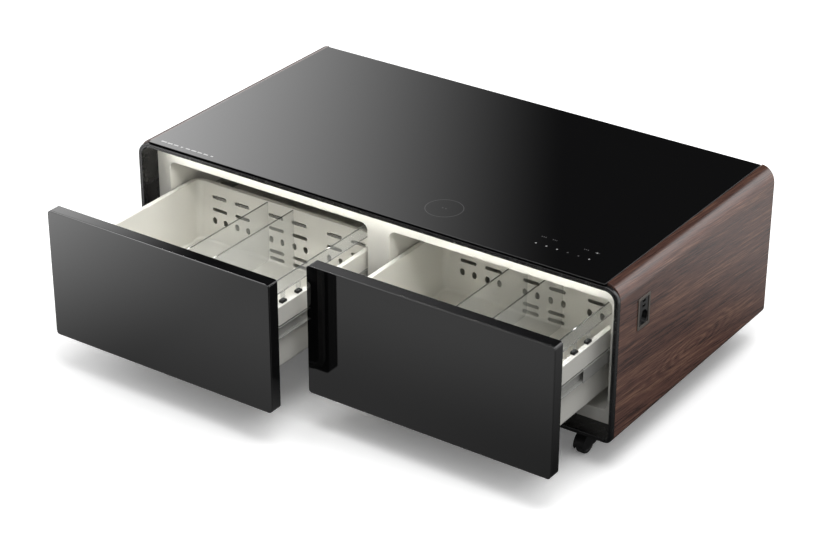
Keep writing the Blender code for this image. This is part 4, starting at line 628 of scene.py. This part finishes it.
@finish("front body", "black_paint")
def front_body(r, c):
    """Black lacquer. Its gloss thins out along the left front's upper edge, towards the right, and is about
    half as strong along the right one's."""
    low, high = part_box("left_drawer_door")
    upper = r.z.ramp(high[2] - 0.003, high[2] - 0.001)
    lid = r.x.ramp(low[0] - 0.12, low[0] + 0.44, 0.95, 0.0) + r.x.ramp(high[0], high[0] + 0.01, 0.0, 0.55)
    return dict(
        Base_Color=r.blend(r.noise(60, 4).ramp(0.4, 0.9), c.gloss, c.gloss * 1.6), Roughness=0.4,
        Specular_IOR_Level=0.0, Coat_Weight=1 - upper * (1 - lid), Coat_Roughness=0.09,
    )


@finish("bezel", "black_plastic")
def bezel(r, c):
    """Grey-brown moulded frame."""
    grain = r.noise(900, 2)
    return dict(Base_Color=c.bezel, Roughness=0.35 + 0.1 * grain, Normal=r.bump(grain, 0.00003))


@finish("satin black")
def black(r, c):
    """Satin black paint with a faint orange peel."""
    peel = r.bump(r.noise(600, 2), 0.00002)
    return dict(Base_Color=c.black, Roughness=r.noise(40).ramp(0.3, 0.7, 0.22, 0.30), Normal=peel)


@finish("moulded black", "black_plastic")
def moulded(r, c):
    """Moulded black plastic with a fine grain."""
    grain = r.noise(1500, 2)
    return dict(
        Base_Color=c.moulded, Roughness=0.42 + 0.1 * grain, Specular_IOR_Level=0.3,
        Normal=r.bump(grain, 0.00004),
    )


@finish("warm white", "warm_white")
def white(r, c):
    """Warm white plastic, a little softer in tone here and there."""
    tone = r.blend(r.noise(5, 2).ramp(0.3, 0.7), c.white, c.white * 0.97)
    return dict(Base_Color=tone, Roughness=r.noise(300, 2).ramp(0.3, 0.7, 0.30, 0.38))


@finish("seal", "grey_rubber")
def seal(r, c):
    """Soft grey seal."""
    return dict(Base_Color=c.seal, Roughness=0.62 + 0.15 * r.noise(500))


@finish("rubber", "black_rubber")
def rubber(r, c):
    """Black rubber with a worn tread."""
    worn = r.noise(90, 4)
    tone = r.blend(worn.ramp(0.45, 0.75), c.rubber, c.rubber * 2.2)
    return dict(Base_Color=tone, Roughness=0.55 + 0.2 * worn)


@finish("foam")
def foam(r, c):
    """Foamed filling, mottled and open-celled."""
    cells = r.noise(260, 4)
    tone = r.blend(cells, c.foam * 0.8, c.foam)
    return dict(Base_Color=tone, Roughness=0.9, Normal=r.bump(cells, 0.0006))


@finish("zinc steel")
def zinc(r, c):
    """Zinc-plated steel with fine lines along the depth."""
    drawn = r.noise((r.x * 900, r.y * 12, r.z * 900), 3)
    tone = r.blend(drawn, c.zinc * 0.86, c.zinc)
    return dict(Base_Color=tone, Metallic=0.3, Roughness=0.42 + 0.16 * drawn)


@finish("aluminium")
def aluminium(r, c):
    """Aluminium fins."""
    drawn = r.noise((r.x * 60, r.y * 60, r.z * 900), 3)
    return dict(Base_Color=c.aluminium, Metallic=1.0, Roughness=0.28 + 0.2 * drawn)


@finish("circuit board")
def board(r, c):
    """Circuit board with fine traces."""
    traces = r.add("ShaderNodeTexBrick", {"Vector": r.point, "Scale": 90.0, "Mortar Size": 0.02}, "Fac")
    return dict(Base_Color=r.blend(traces, c.board, tuple(0.5 * v + 0.05 for v in c.board)), Roughness=0.45)


@finish("copper")
def copper(r, c):
    """Enamelled copper wire."""
    wire = r.noise((r.x * 300, r.y * 300, r.z * 900), 2)
    return dict(Base_Color=c.copper, Metallic=1.0, Roughness=0.25 + 0.2 * wire)


@finish("clear sheet")
def clear(r, c):
    """Clear sheet: seen through, but for its edges, which a height tells apart and which carry a painted dark
    reflection.
    """
    tops = [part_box(f"left_drawer_{node}")[1][2] for node in ("gallery", "left_divider", "box")]
    # Painted reflection: near these heights the sheet is given a dark colour and made less see-through
    edge = r.z.near(tops[0], 0.0011) + r.z.near(tops[1], 0.0011) + r.z.near(tops[2] + 0.026, 0.0009) * 0.6
    return dict(
        Base_Color=r.blend(edge, c.clear, c.clear_edge), Roughness=0.05, IOR=1.49,
        Alpha=(0.16 + 0.05 * r.noise(30)) + edge * 0.6,
    )


# The cabinet


def case_ring(step_in, steps=12):
    """Outline of the case from the front, set in all round."""
    s = sizes()
    radii = (s.bottom_corner,) * 2 + (s.top_corner,) * 2
    return plan(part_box("front_frame"), 1, step_in, radii, steps)


def opening_ring(side, grow):
    """Outline of one drawer opening, grown all round."""
    s = sizes()
    low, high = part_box(f"{side}_liner")
    foot = np.array(((low[0] + high[0]) / 2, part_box("front_frame")[0][2]))
    corners = foot + np.array(s.opening_low) - grow, foot + np.array(s.opening_high) + grow
    return rounded(*corners, s.opening_corner + grow)


def socket_ring(step_in):
    """Outline of the socket's bezel on the right end, set in all round, as (y, z) points."""
    return plan(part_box("socket_frame"), 0, step_in, sizes().socket_corner, 6, 0.0008)


def end_panel(side, sign):
    """Bent sheet at one end of the case: straight under the glass, up beside its edge, round the top corner
    on an ellipse, down, round the bottom corner and straight under the case. The inside runs along it, a
    sheet's thickness nearer the corners' centres."""
    s = sizes()
    case_low, case_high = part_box("front_frame")
    low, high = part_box(f"{side}_side_panel")
    middle, half = (case_low[0] + case_high[0]) / 2, (case_high[0] - case_low[0]) / 2
    down = np.linspace(math.pi / 2, 0, 15)
    beside = half - s.top_corner + GAP
    lines = []
    for thick, rise, drop in ((0, s.sheet_rise, 0), (s.sheet, 0, LEAST)):
        top, bottom = s.top_corner - thick, s.bottom_corner - thick
        x = np.concatenate((
            [half - s.top_corner - s.top_lap, beside], beside + (top - GAP) * np.cos(down),
            half - s.bottom_corner + bottom * np.cos(down - math.pi / 2),
            [half - s.bottom_corner - s.bottom_lap],
        ))
        z = np.concatenate((
            [high[2] - thick, high[2] - thick - drop],
            high[2] - s.top_corner + (top + rise - 2 * drop) * np.sin(down),
            low[2] + s.bottom_corner + bottom * np.sin(down - math.pi / 2), [low[2] + thick],
        ))
        lines.append(np.stack((middle + sign * x, z), -1))
    piece = build(f"{side}_end_panel", [prism(band(*lines), 1, low[1], high[1], 4 * LEAST)])
    if side == "right":
        hole = socket_ring(s.socket_rim - s.socket_sleeve - GAP)
        cut(piece, [prism(hole, 0, high[0] - s.sheet - BEYOND, high[0] + BEYOND)])
    dress(piece, "walnut", "cabinet", f"{side}_side_panel")


def front_rim():
    """Black rim with a lip outside, a groove along its face and a sleeve that runs back to the white front:
    its section carried round the case's outline."""
    s = sizes()
    low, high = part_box("front_frame")
    groove, depth = s.rim_groove
    corners = [
        (0, low[1]), (0, low[1] + s.lip), (s.shell_inset, low[1] + s.lip), (s.shell_inset, high[1]),
        (s.rim_width, high[1]), (s.rim_width, low[1]), ((s.rim_width + groove) / 2, low[1]),
        (s.rim_width / 2, low[1] + depth), ((s.rim_width - groove) / 2, low[1]),
    ]
    profile = fillet(corners, (s.rim_round, 0.0006, 0, 0, 0, s.rim_round, 0.0003, 0.0002, 0.0003), 5)
    dress(build("front_rim", [hoop(case_ring, profile, 1)], 50), "rim", "cabinet", "front_frame")


def white_front():
    """White front plate in two halves, each with rings from the case's outline to its opening, whose edge
    rolls in."""
    s = sizes()
    low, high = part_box("fascia")
    middle = (low[0] + high[0]) / 2
    grids = []
    for side, sign in SIDES:
        outer = case_ring(s.shell_inset, 10)
        ends = sorted((middle, middle + sign))
        inner = rounded((ends[0], low[2]), (ends[1], high[2]), 0.002)
        outer = np.where((outer[:, :1] - middle) * sign > 0, outer, inner)
        profile = [*quarter((0, low[1]), (s.opening_round, s.opening_round)), (0, high[1])]
        rings, wrap = hoop(functools.partial(opening_ring, side), profile, 1)
        grids.append((np.array([lift(outer, 1, high[1]), lift(outer, 1, low[1]), *rings]), wrap))
    dress(build("white_front", grids), "white", "cabinet", "fascia")


def light_strip():
    """Diffuser under the rim's top run, its section carried along the length."""
    s = sizes()
    low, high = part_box("front_frame")
    middle, width, height, corner, edge = low[1] + 0.030, 0.006, 0.003, 0.001, 0.0006
    top = high[2] - s.rim_width - 4 * LEAST
    section = square((middle, top - height / 2), (width, height), corner)
    end = s.top_corner + s.rim_width
    strip = build("light_strip", [prism(section, 0, low[0] + end, high[0] - end, edge)])
    dress(strip, "lamp", "cabinet")


def liner(side, sign):
    """Inner case: the opening's outline carried back to a rear wall, with a fillet there, a flange at the
    front and a cold air opening in the rear wall."""
    s = sizes()
    low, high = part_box(f"{side}_liner")
    rear, flange = high[1] - s.liner_wall, low[1] + s.liner_wall
    inside, outside = s.liner_fillet, s.liner_fillet + s.liner_wall
    profile = [
        *quarter((s.liner_wall, high[1]), (-outside, -outside), 8), (s.liner_wall, flange),
        (s.liner_flange, flange), (s.liner_flange, low[1]), (0, low[1]),
        *quarter((0, rear), (-inside, -inside), 8, True),
    ]
    ring = functools.partial(opening_ring, side)
    piece = build(f"{side}_inner_case", [hoop(ring, profile, 1, False)])
    width, height = s.duct
    centre = (
        (low[0] + high[0]) / 2 + sign * (s.duct_start[0] + width / 2 + s.opening_low[0]),
        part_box("front_frame")[0][2] + s.opening_low[1] + s.duct_start[1] + height / 2,
    )
    cut(piece, [prism(square(centre, s.duct, 0.006), 1, rear - BEYOND, high[1] + BEYOND)])
    dress(piece, "white", "cabinet", f"{side}_liner")


def top_sheet():
    """Sheet of black glass with ground edges."""
    s = sizes()
    low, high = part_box("top_glass")
    outline = plan((low, high), 2, 0, s.glass_corner, 6)
    sheet = build("top_sheet", [prism(outline, 2, low[2], high[2], s.glass_edge, 5)])
    dress(sheet, "top_glass", "cabinet", "top_glass")


# The drawers


def door(side):
    """Glass front and filled body of one drawer, straight bodies on the front's outline, and its seal, a
    section carried round the opening."""
    s = sizes()
    body = f"{side}_drawer"
    low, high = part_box(f"{body}_glass")
    outline = plan((low, high), 1, 0, s.door_corner, 8)
    glass = build(f"{side}_front_glass", [prism(outline, 1, low[1], high[1], s.door_edge, 5)])
    dress(glass, "front_glass", body, f"{body}_glass")
    low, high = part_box(f"{body}_door")
    edge = 2 * s.door_edge
    profile = [
        (4 * LEAST, low[1]), (0, low[1] + 4 * LEAST), *quarter((0, high[1]), (edge, -edge), 6, True),
        (FLAT * edge, high[1]),
    ]
    filled = build(f"{side}_front_body", [hoop(functools.partial(inset, outline), profile, 1, False)])
    dress(filled, "front_body", body, f"{body}_door")
    low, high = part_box(f"{body}_gasket")
    middle = (low[1] + high[1]) / 2
    inner, outer = s.seal_lap, s.seal_lap + s.seal_width
    corners = [
        (inner, low[1]), (inner + s.seal_groove, middle), (inner, high[1]),
        (outer, high[1]), (outer - s.seal_groove, middle), (outer, low[1]),
    ]
    profile = fillet(corners, (0.0006, 0.0016, 0.0014, 0.0014, 0.0016, 0.0006), 4)
    strip = build(f"{side}_seal", [hoop(functools.partial(opening_ring, side), profile, 1)], 50)
    dress(strip, "seal", body, f"{body}_gasket")


def clips(side):
    """Dark clips that hold the clear gallery's two legs on the rim: each is two jaws and two stops, rounded
    blocks with the leg between them."""
    s = sizes()
    box_low, box_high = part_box(f"{side}_drawer_box")
    low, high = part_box(f"{side}_drawer_gallery")
    middle, base = (low[0] + high[0]) / 2, box_high[2]
    first = box_low[1] + s.clip_start[side == "right"]
    width, jaw, stop = 0.0104, 0.0036, 0.0014
    along, rise = s.clip
    grids = []
    for y in (first, first + s.clip_pitch):
        for hand in (-1, 1):
            section = square((middle + hand * (width - jaw) / 2, y), (jaw, along), 0.0008)
            grids.append(prism(section, 2, base + GAP, base + rise, 0.0007))
        for hand in (-1, 1):
            section = square((middle, y + hand * (along + stop) / 2), (width, stop), 0.0006)
            grids.append(prism(section, 2, base + GAP, base + rise - 0.001, 0.0006))
    dress(build(f"{side}_clips", grids), "moulded", f"{side}_drawer")


def vents(middle, top, height):
    """Outlines of the holes in a box's rear wall: three groups of two slots over two slots and four upright
    holes, and below them two rows of two slots. Each row's height is its share of the box's."""
    s = sizes()
    upper, upright, lower = (0.220, 0.431), 0.620, (0.812, 0.931)
    pairs = (-s.pair_pitch / 2, s.pair_pitch / 2)
    holes = []
    for group in (-s.group_pitch, 0, s.group_pitch):
        for x in (middle + group + pair for pair in pairs):
            holes += [square((x, top - share * height), s.slot_size, 1) for share in upper]
            for hand in (-s.hole_pitch / 2, s.hole_pitch / 2):
                holes.append(square((x + hand, top - upright * height), s.hole_size, 1))
    for share in lower:
        holes += [square((middle + pair, top - share * height), s.slot_size, 1) for pair in pairs]
    return holes


def drawer_box(side):
    """Box with a wide rim, an apron outside, filleted floor and a pierced rear wall. Its rings are the plan
    outline at each step of the wall's section."""
    s = sizes()
    node = f"{side}_drawer_box"
    low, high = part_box(node)
    wall, top, fillets, edge = s.box_rim - s.box_wall, high[2], s.box_fillet, s.box_edge
    under, apron = top - s.box_wall, top - s.box_apron
    bends = [(wall, under), (s.box_wall, under), (s.box_wall, apron), (0, apron)]
    profile = [
        *quarter((wall, low[2]), (fillets, fillets), 7), *fillet(bends, (0.0008, 0.0008, 0.0004, 0.0004), 2),
        *quarter((0, top), (edge, -edge), 7, True), *quarter((s.box_rim, top), (-edge, -edge), 7),
        *quarter((s.box_rim, low[2] + s.box_wall), (fillets, fillets), 7, True),
    ]
    rings = hoop(lambda step_in: plan((low, high), 2, step_in, s.box_corner, 12), profile, 2, False)
    piece = build(f"{side}_box", [rings])
    holes = vents((low[0] + high[0]) / 2, top, top - low[2])
    cut(piece, [prism(hole, 1, high[1] - s.box_rim - BEYOND, high[1] + BEYOND) for hole in holes])
    dress(piece, "white", f"{side}_drawer", node)


# Casters and socket


def caster(name):
    """Fork and wheel of one caster. A cheek is a half circle about the axle over a tapered skirt, and the
    hood a half ring between the cheeks. The axle, the neck with its race and stem and the wheel are spun."""
    s = sizes()
    low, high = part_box(f"{name}_caster_wheel")
    x, y, z = (low + high)[0] / 2, (low + high)[1] / 2, s.wheel_radius
    inside = s.wheel_width / 2 + s.cheek_gap
    outside = inside + s.cheek
    inner = s.wheel_radius + s.hood_gap
    outer = inner + s.hood
    edge, lap = 0.0006, 0.0008
    arc = np.linspace(0, math.pi, 33)
    bow, hollow = (np.stack((y + r * np.cos(arc), z + r * np.sin(arc)), -1) for r in (outer, inner))
    reach = outer * math.cos(math.pi / 6)
    plate = np.concatenate((bow, [(y - reach, z - s.skirt), (y + reach, z - s.skirt)]))
    axle, tip = s.axle
    grids = [
        prism(plate, 0, x - outside, x - inside, edge),
        prism(plate, 0, x + inside, x + outside, edge),
        prism(band(bow, hollow), 0, x - inside - lap, x + inside + lap),
        spun([(0, -tip), (axle, -tip), (axle, tip), (0, tip)], (x, y, z), 0, 24),
    ]
    stem, stem_length = s.stem
    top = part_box(f"{name}_caster_fork")[1][2] - stem_length
    race, thick = s.race
    profile = [
        (0, z + inner), (s.neck, z + inner), (s.neck, top - thick), (race - 0.001, top - thick + 0.0008),
        (race, top - thick / 2), (race, top - 0.0006), (race - 0.0006, top), (stem, top),
        (stem, top + stem_length), (0, top + stem_length),
    ]
    grids.append(spun(profile, (x, y + s.trail, 0), 2))
    dress(build(f"{name}_fork", grids), "moulded", f"{name}_caster", f"{name}_caster_fork")
    half, rim_radius, web = s.wheel_width / 2, s.wheel_radius, s.wheel_width / 2 - s.web_sink
    side = [
        (s.wheel_bore, half), (s.hub, half), (s.hub + 0.0012, web), (s.tyre - 0.0015, web),
        (s.tyre, half - 0.0004), (rim_radius - 0.0024, half - 0.0002), (rim_radius - 0.0008, half - 0.0012),
        (rim_radius, half - 0.0034),
    ]
    ring = side + [(r, -w) for r, w in side[::-1]]
    wheel = build(f"{name}_wheel", [spun(ring, (x, y, z), 0, 64, True)])
    dress(wheel, "rubber", f"{name}_wheel", f"{name}_caster_wheel")


def socket():
    """Bezel with its sleeve, a section carried round the socket's outline, and the insert, a straight body
    with a round outlet, its pin slots and two charging ports."""
    s = sizes()
    low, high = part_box("socket_frame")
    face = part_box("right_side_panel")[1][0] + GAP
    outer = s.socket_rim - s.socket_sleeve
    corners = [
        (0, face), (0, high[0]), (s.socket_rim, high[0]), (s.socket_rim, low[0]), (outer, low[0]),
        (outer, face),
    ]
    profile = fillet(corners, (0.0002, 0.0007, 0.0004, 0.0002, 0.0002, 0.0002), 4)
    dress(build("socket_bezel", [hoop(socket_ring, profile, 0)]), "bezel", "cabinet", "socket_frame")
    low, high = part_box("socket_insert")
    front, middle = high[0], (low + high)[1] / 2
    insert = build("socket_face", [prism(socket_ring(s.socket_rim + GAP), 0, low[0], front, GAP)])
    radius, depth = s.outlet
    outlet = low[2] + radius + s.socket_sleeve + GAP
    holes = [prism(disc((middle, outlet), radius), 0, front - depth, front + BEYOND)]
    tongues = []
    width, height, port_depth = s.port
    for index in (0.5, 1.5):
        z = high[2] + GAP - s.port_pitch * index
        port = square((middle, z), (width, height), 0.0011)
        holes.append(prism(port, 0, front - port_depth, front + BEYOND))
        tongue = square((middle, z + 0.0009), (width - 0.003, 0.0014), 0.0002, 2)
        tongues.append(prism(tongue, 0, front - port_depth - 0.0004, front - 0.0018))
    cut(insert, holes)
    pins = [square((middle + hand * s.pin_pitch / 2, outlet), s.pin[:2], 0.0005, 3) for hand in (-1, 1)]
    cut(insert, [prism(pin, 0, front - s.pin[2], front - depth + GAP) for pin in pins])
    dress(insert, "gloss", "cabinet", "socket_insert")
    dress(build("port_tongues", tongues), "white", "cabinet")


# The rest of the frame


CAD_FINISHES = {
    "top_tray": "moulded", "condenser_fan_shroud": "moulded", "condenser_fan": "moulded",
    "power_inlet": "moulded", "left_duct_cover": "white", "right_duct_cover": "white",
    "evaporator_fan": "white", "back_panel": "black", "compressor": "black", "base_plate": "zinc",
    "evaporator_fan_motor": "zinc", "condenser": "aluminium", "evaporator": "aluminium",
    "control_board": "board", "touch_board": "board", "charging_coil": "copper", "insulation": "foam",
}


def paint_frame():
    """Finishes for the CAD nodes that are shown as they are."""
    nodes = frame["nodes"]
    finishes = dict(CAD_FINISHES)
    for name in nodes:
        if name.endswith("_rail"):
            finishes[name] = "zinc"
        elif name.endswith(("_divider", "_gallery")):
            finishes[name] = "clear"
    for name, kind in finishes.items():
        paint(nodes[name], kind)


# Stage


def stage_floor():
    """Pale floor that the camera sees as white but for soft shadows, and that the black fronts mirror."""
    s = bpy.context.scene.table_stage
    half = s.floor / 2
    mesh = bpy.data.meshes.new("floor")
    corners = [(-half, -half, 0), (half, -half, 0), (half, half, 0), (-half, half, 0)]
    mesh.from_pydata(corners, [], [(0, 1, 2, 3)])
    place("floor", mesh)
    r = Recipe("floor")
    camera_ray, glossy_ray = rays(r.tree)
    # What the fronts mirror: dimmer close before the table, a painted shadow of it, and ever brighter to its
    # left
    beside = (-0.5 - r.x).at_least(0.0) ** 1.6 * 4.2
    before = r.y.ramp(-1.0, -0.55, 0.84, 0.45) - r.x.ramp(0.0, 0.6, 0.0, 0.12) + beside
    # What the right end mirrors: dark at its foot, a painted shadow, and brighter away from it
    away = (r.x - 0.72).at_least(0.0).at_most(0.9)
    behind = 0.06 + 0.9 * away + 0.5 * r.y.ramp(0.4, 1.05) * r.x.ramp(0.0, 0.6)
    turn = r.y.ramp(-0.5, -0.25)
    mirrored = r.glow(before.at_most(3.4) * (1 - turn) + behind * turn)
    seen = r.add("ShaderNodeAddShader", {0: r.matt(s.backdrop), 1: r.glow(s.haze)})
    plain = r.add("ShaderNodeMixShader", {0: camera_ray, 1: r.matt(s.floor_tone), 2: seen})
    mesh.materials.append(r.surface(r.add("ShaderNodeMixShader", {0: glossy_ray, 1: plain, 2: mirrored})))


def stage_world():
    """White for the camera, soft for what it lights, and a studio gradient for what mirrors it. The azimuth
    counts from the back towards the right in degrees, and z is the sine of the elevation."""
    world = bpy.data.worlds.new("studio")
    bpy.context.scene.world = world
    world.use_nodes = True
    tree = world.node_tree
    tree.nodes.clear()
    x, y, z = Field.of(tree, "ShaderNodeTexCoord", output="Generated").axes()
    azimuth = x.angle_from(y) * (180 / math.pi)
    # What the fronts and the top mirror: a glow on the left, and on the right a panel up to some 35 degrees
    left = ((-30.4 - azimuth) / 10).at_least(0.0) ** 1.6 * 2.57
    left = left.at_most(3.2) * z.ramp(0.05, 0.33, 0.12, 1.0)
    right = azimuth.ramp(7.0, 24.0) * (2.1 + 1.45 * z.ramp(0.0, 0.45)) * z.ramp(0.54, 0.64, 1.0, 0.1)
    fade = azimuth.ramp(-66.0, -46.0) * azimuth.ramp(36.0, 48.0, 1.0, 0.0)
    # On the other sides a dim surround with a bright band over it, and overhead an even white
    high = z.ramp(0.75, 0.92)
    rear = (1 - fade) * (0.3 + 2.9 * z.ramp(0.58, 0.70))
    mirrored = (left + right) * (1 - high) * fade + rear * (1 - high) + 0.015 + high
    soft = bpy.context.scene.table_stage.ambient * (0.75 + 0.4 * z.ramp(0.0, 1.0))
    camera_ray, glossy_ray = rays(tree)
    level = glossy_ray * mirrored + (1 - glossy_ray) * soft
    level = camera_ray + (1 - camera_ray) * level
    white_light = Field.of(tree, "ShaderNodeBackground", {"Color": (1.0, 1.0, 1.0), "Strength": level})
    Field.of(tree, "ShaderNodeOutputWorld", {"Surface": white_light})


def stage_lamp():
    """Square area light that faces its target: tilted from straight down, then turned about the upright."""
    s = bpy.context.scene.table_stage
    data = bpy.data.lights.new("key", "AREA")
    data.shape, data.size, data.energy = "SQUARE", s.lamp_size, s.lamp_power
    x, y, z = np.subtract(s.target, s.lamp)
    light = place("key", data)
    light.location = s.lamp
    light.rotation_euler = math.atan2(math.hypot(x, y), -z), 0, math.atan2(y, x) - math.pi / 2


def stage_camera():
    """Camera at the photograph's angle: rolled, pitched from straight down, then turned about the upright."""
    s = bpy.context.scene.table_stage
    pitch, roll, yaw = s.turn
    data = bpy.data.cameras.new("camera")
    data.sensor_width, data.lens, data.clip_end = s.sensor, s.lens, 200
    camera = place("camera", data)
    camera.matrix_world = (
        Matrix.Translation(s.camera) @ Matrix.Rotation(-yaw, 4, "Z")
        @ Matrix.Rotation(math.pi / 2 + pitch, 4, "X") @ Matrix.Rotation(-roll, 4, "Z")
    )
    bpy.context.scene.camera = camera


# Operators


class TABLE_OT_glass(bpy.types.Operator):
    """Top glass with its printed marks"""

    bl_idname = "table.glass"
    bl_label = "Top glass"

    def execute(self, context):
        top_sheet()
        return {"FINISHED"}


class TABLE_OT_shell(bpy.types.Operator):
    """Bent walnut ends, black rim, white front and its light strip"""

    bl_idname = "table.shell"
    bl_label = "Shell"

    def execute(self, context):
        for side, sign in SIDES:
            end_panel(side, sign)
        front_rim()
        white_front()
        light_strip()
        return {"FINISHED"}


class TABLE_OT_liners(bpy.types.Operator):
    """Liners of both openings"""

    bl_idname = "table.liners"
    bl_label = "Liners"

    def execute(self, context):
        for side, sign in SIDES:
            liner(side, sign)
        return {"FINISHED"}


class TABLE_OT_drawers(bpy.types.Operator):
    """Fronts, seals, boxes and gallery clips of both drawers"""

    bl_idname = "table.drawers"
    bl_label = "Drawers"

    def execute(self, context):
        for side, _ in SIDES:
            door(side)
            drawer_box(side)
            clips(side)
        return {"FINISHED"}


class TABLE_OT_casters(bpy.types.Operator):
    """Four swivel casters"""

    bl_idname = "table.casters"
    bl_label = "Casters"

    def execute(self, context):
        for name in CASTERS:
            caster(name)
        return {"FINISHED"}


class TABLE_OT_socket(bpy.types.Operator):
    """Socket on the right end"""

    bl_idname = "table.socket"
    bl_label = "Socket"

    def execute(self, context):
        socket()
        return {"FINISHED"}


class TABLE_OT_frame(bpy.types.Operator):
    """Finishes of the frame's own pieces"""

    bl_idname = "table.frame"
    bl_label = "Frame finishes"

    def execute(self, context):
        paint_frame()
        return {"FINISHED"}


class TABLE_OT_stage(bpy.types.Operator):
    """Floor, light and camera"""

    bl_idname = "table.stage"
    bl_label = "Stage"

    def execute(self, context):
        stage_floor()
        stage_world()
        stage_lamp()
        stage_camera()
        context.scene.view_settings.view_transform = "Standard"
        return {"FINISHED"}


STEPS = (
    TABLE_OT_glass, TABLE_OT_shell, TABLE_OT_liners, TABLE_OT_drawers, TABLE_OT_casters, TABLE_OT_socket,
    TABLE_OT_frame, TABLE_OT_stage,
)


class TABLE_PT_panel(bpy.types.Panel):
    """Lists the steps that build the table"""

    bl_label = "Coffee table"
    bl_idname = "TABLE_PT_panel"
    bl_space_type = "VIEW_3D"
    bl_region_type = "UI"
    bl_category = "Table"

    def draw(self, context):
        for step in STEPS:
            self.layout.operator(step.bl_idname)


GROUPS = {"table_sizes": TableSizes, "table_colours": TableColours, "table_stage": TableStage}


def register():
    """Adds the classes and the scene's settings to Blender."""
    for kind in (*GROUPS.values(), *STEPS, TABLE_PT_panel):
        bpy.utils.register_class(kind)
    for name, kind in GROUPS.items():
        setattr(bpy.types.Scene, name, bpy.props.PointerProperty(type=kind))


def unregister():
    """Takes them out again."""
    for name in GROUPS:
        delattr(bpy.types.Scene, name)
    for kind in (TABLE_PT_panel, *reversed(STEPS), *GROUPS.values()):
        bpy.utils.unregister_class(kind)


def main():
    """Runs every step."""
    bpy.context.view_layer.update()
    register()
    for step in STEPS:
        group, name = step.bl_idname.split(".")
        getattr(getattr(bpy.ops, group), name)()


if __name__ == "__main__":
    main()
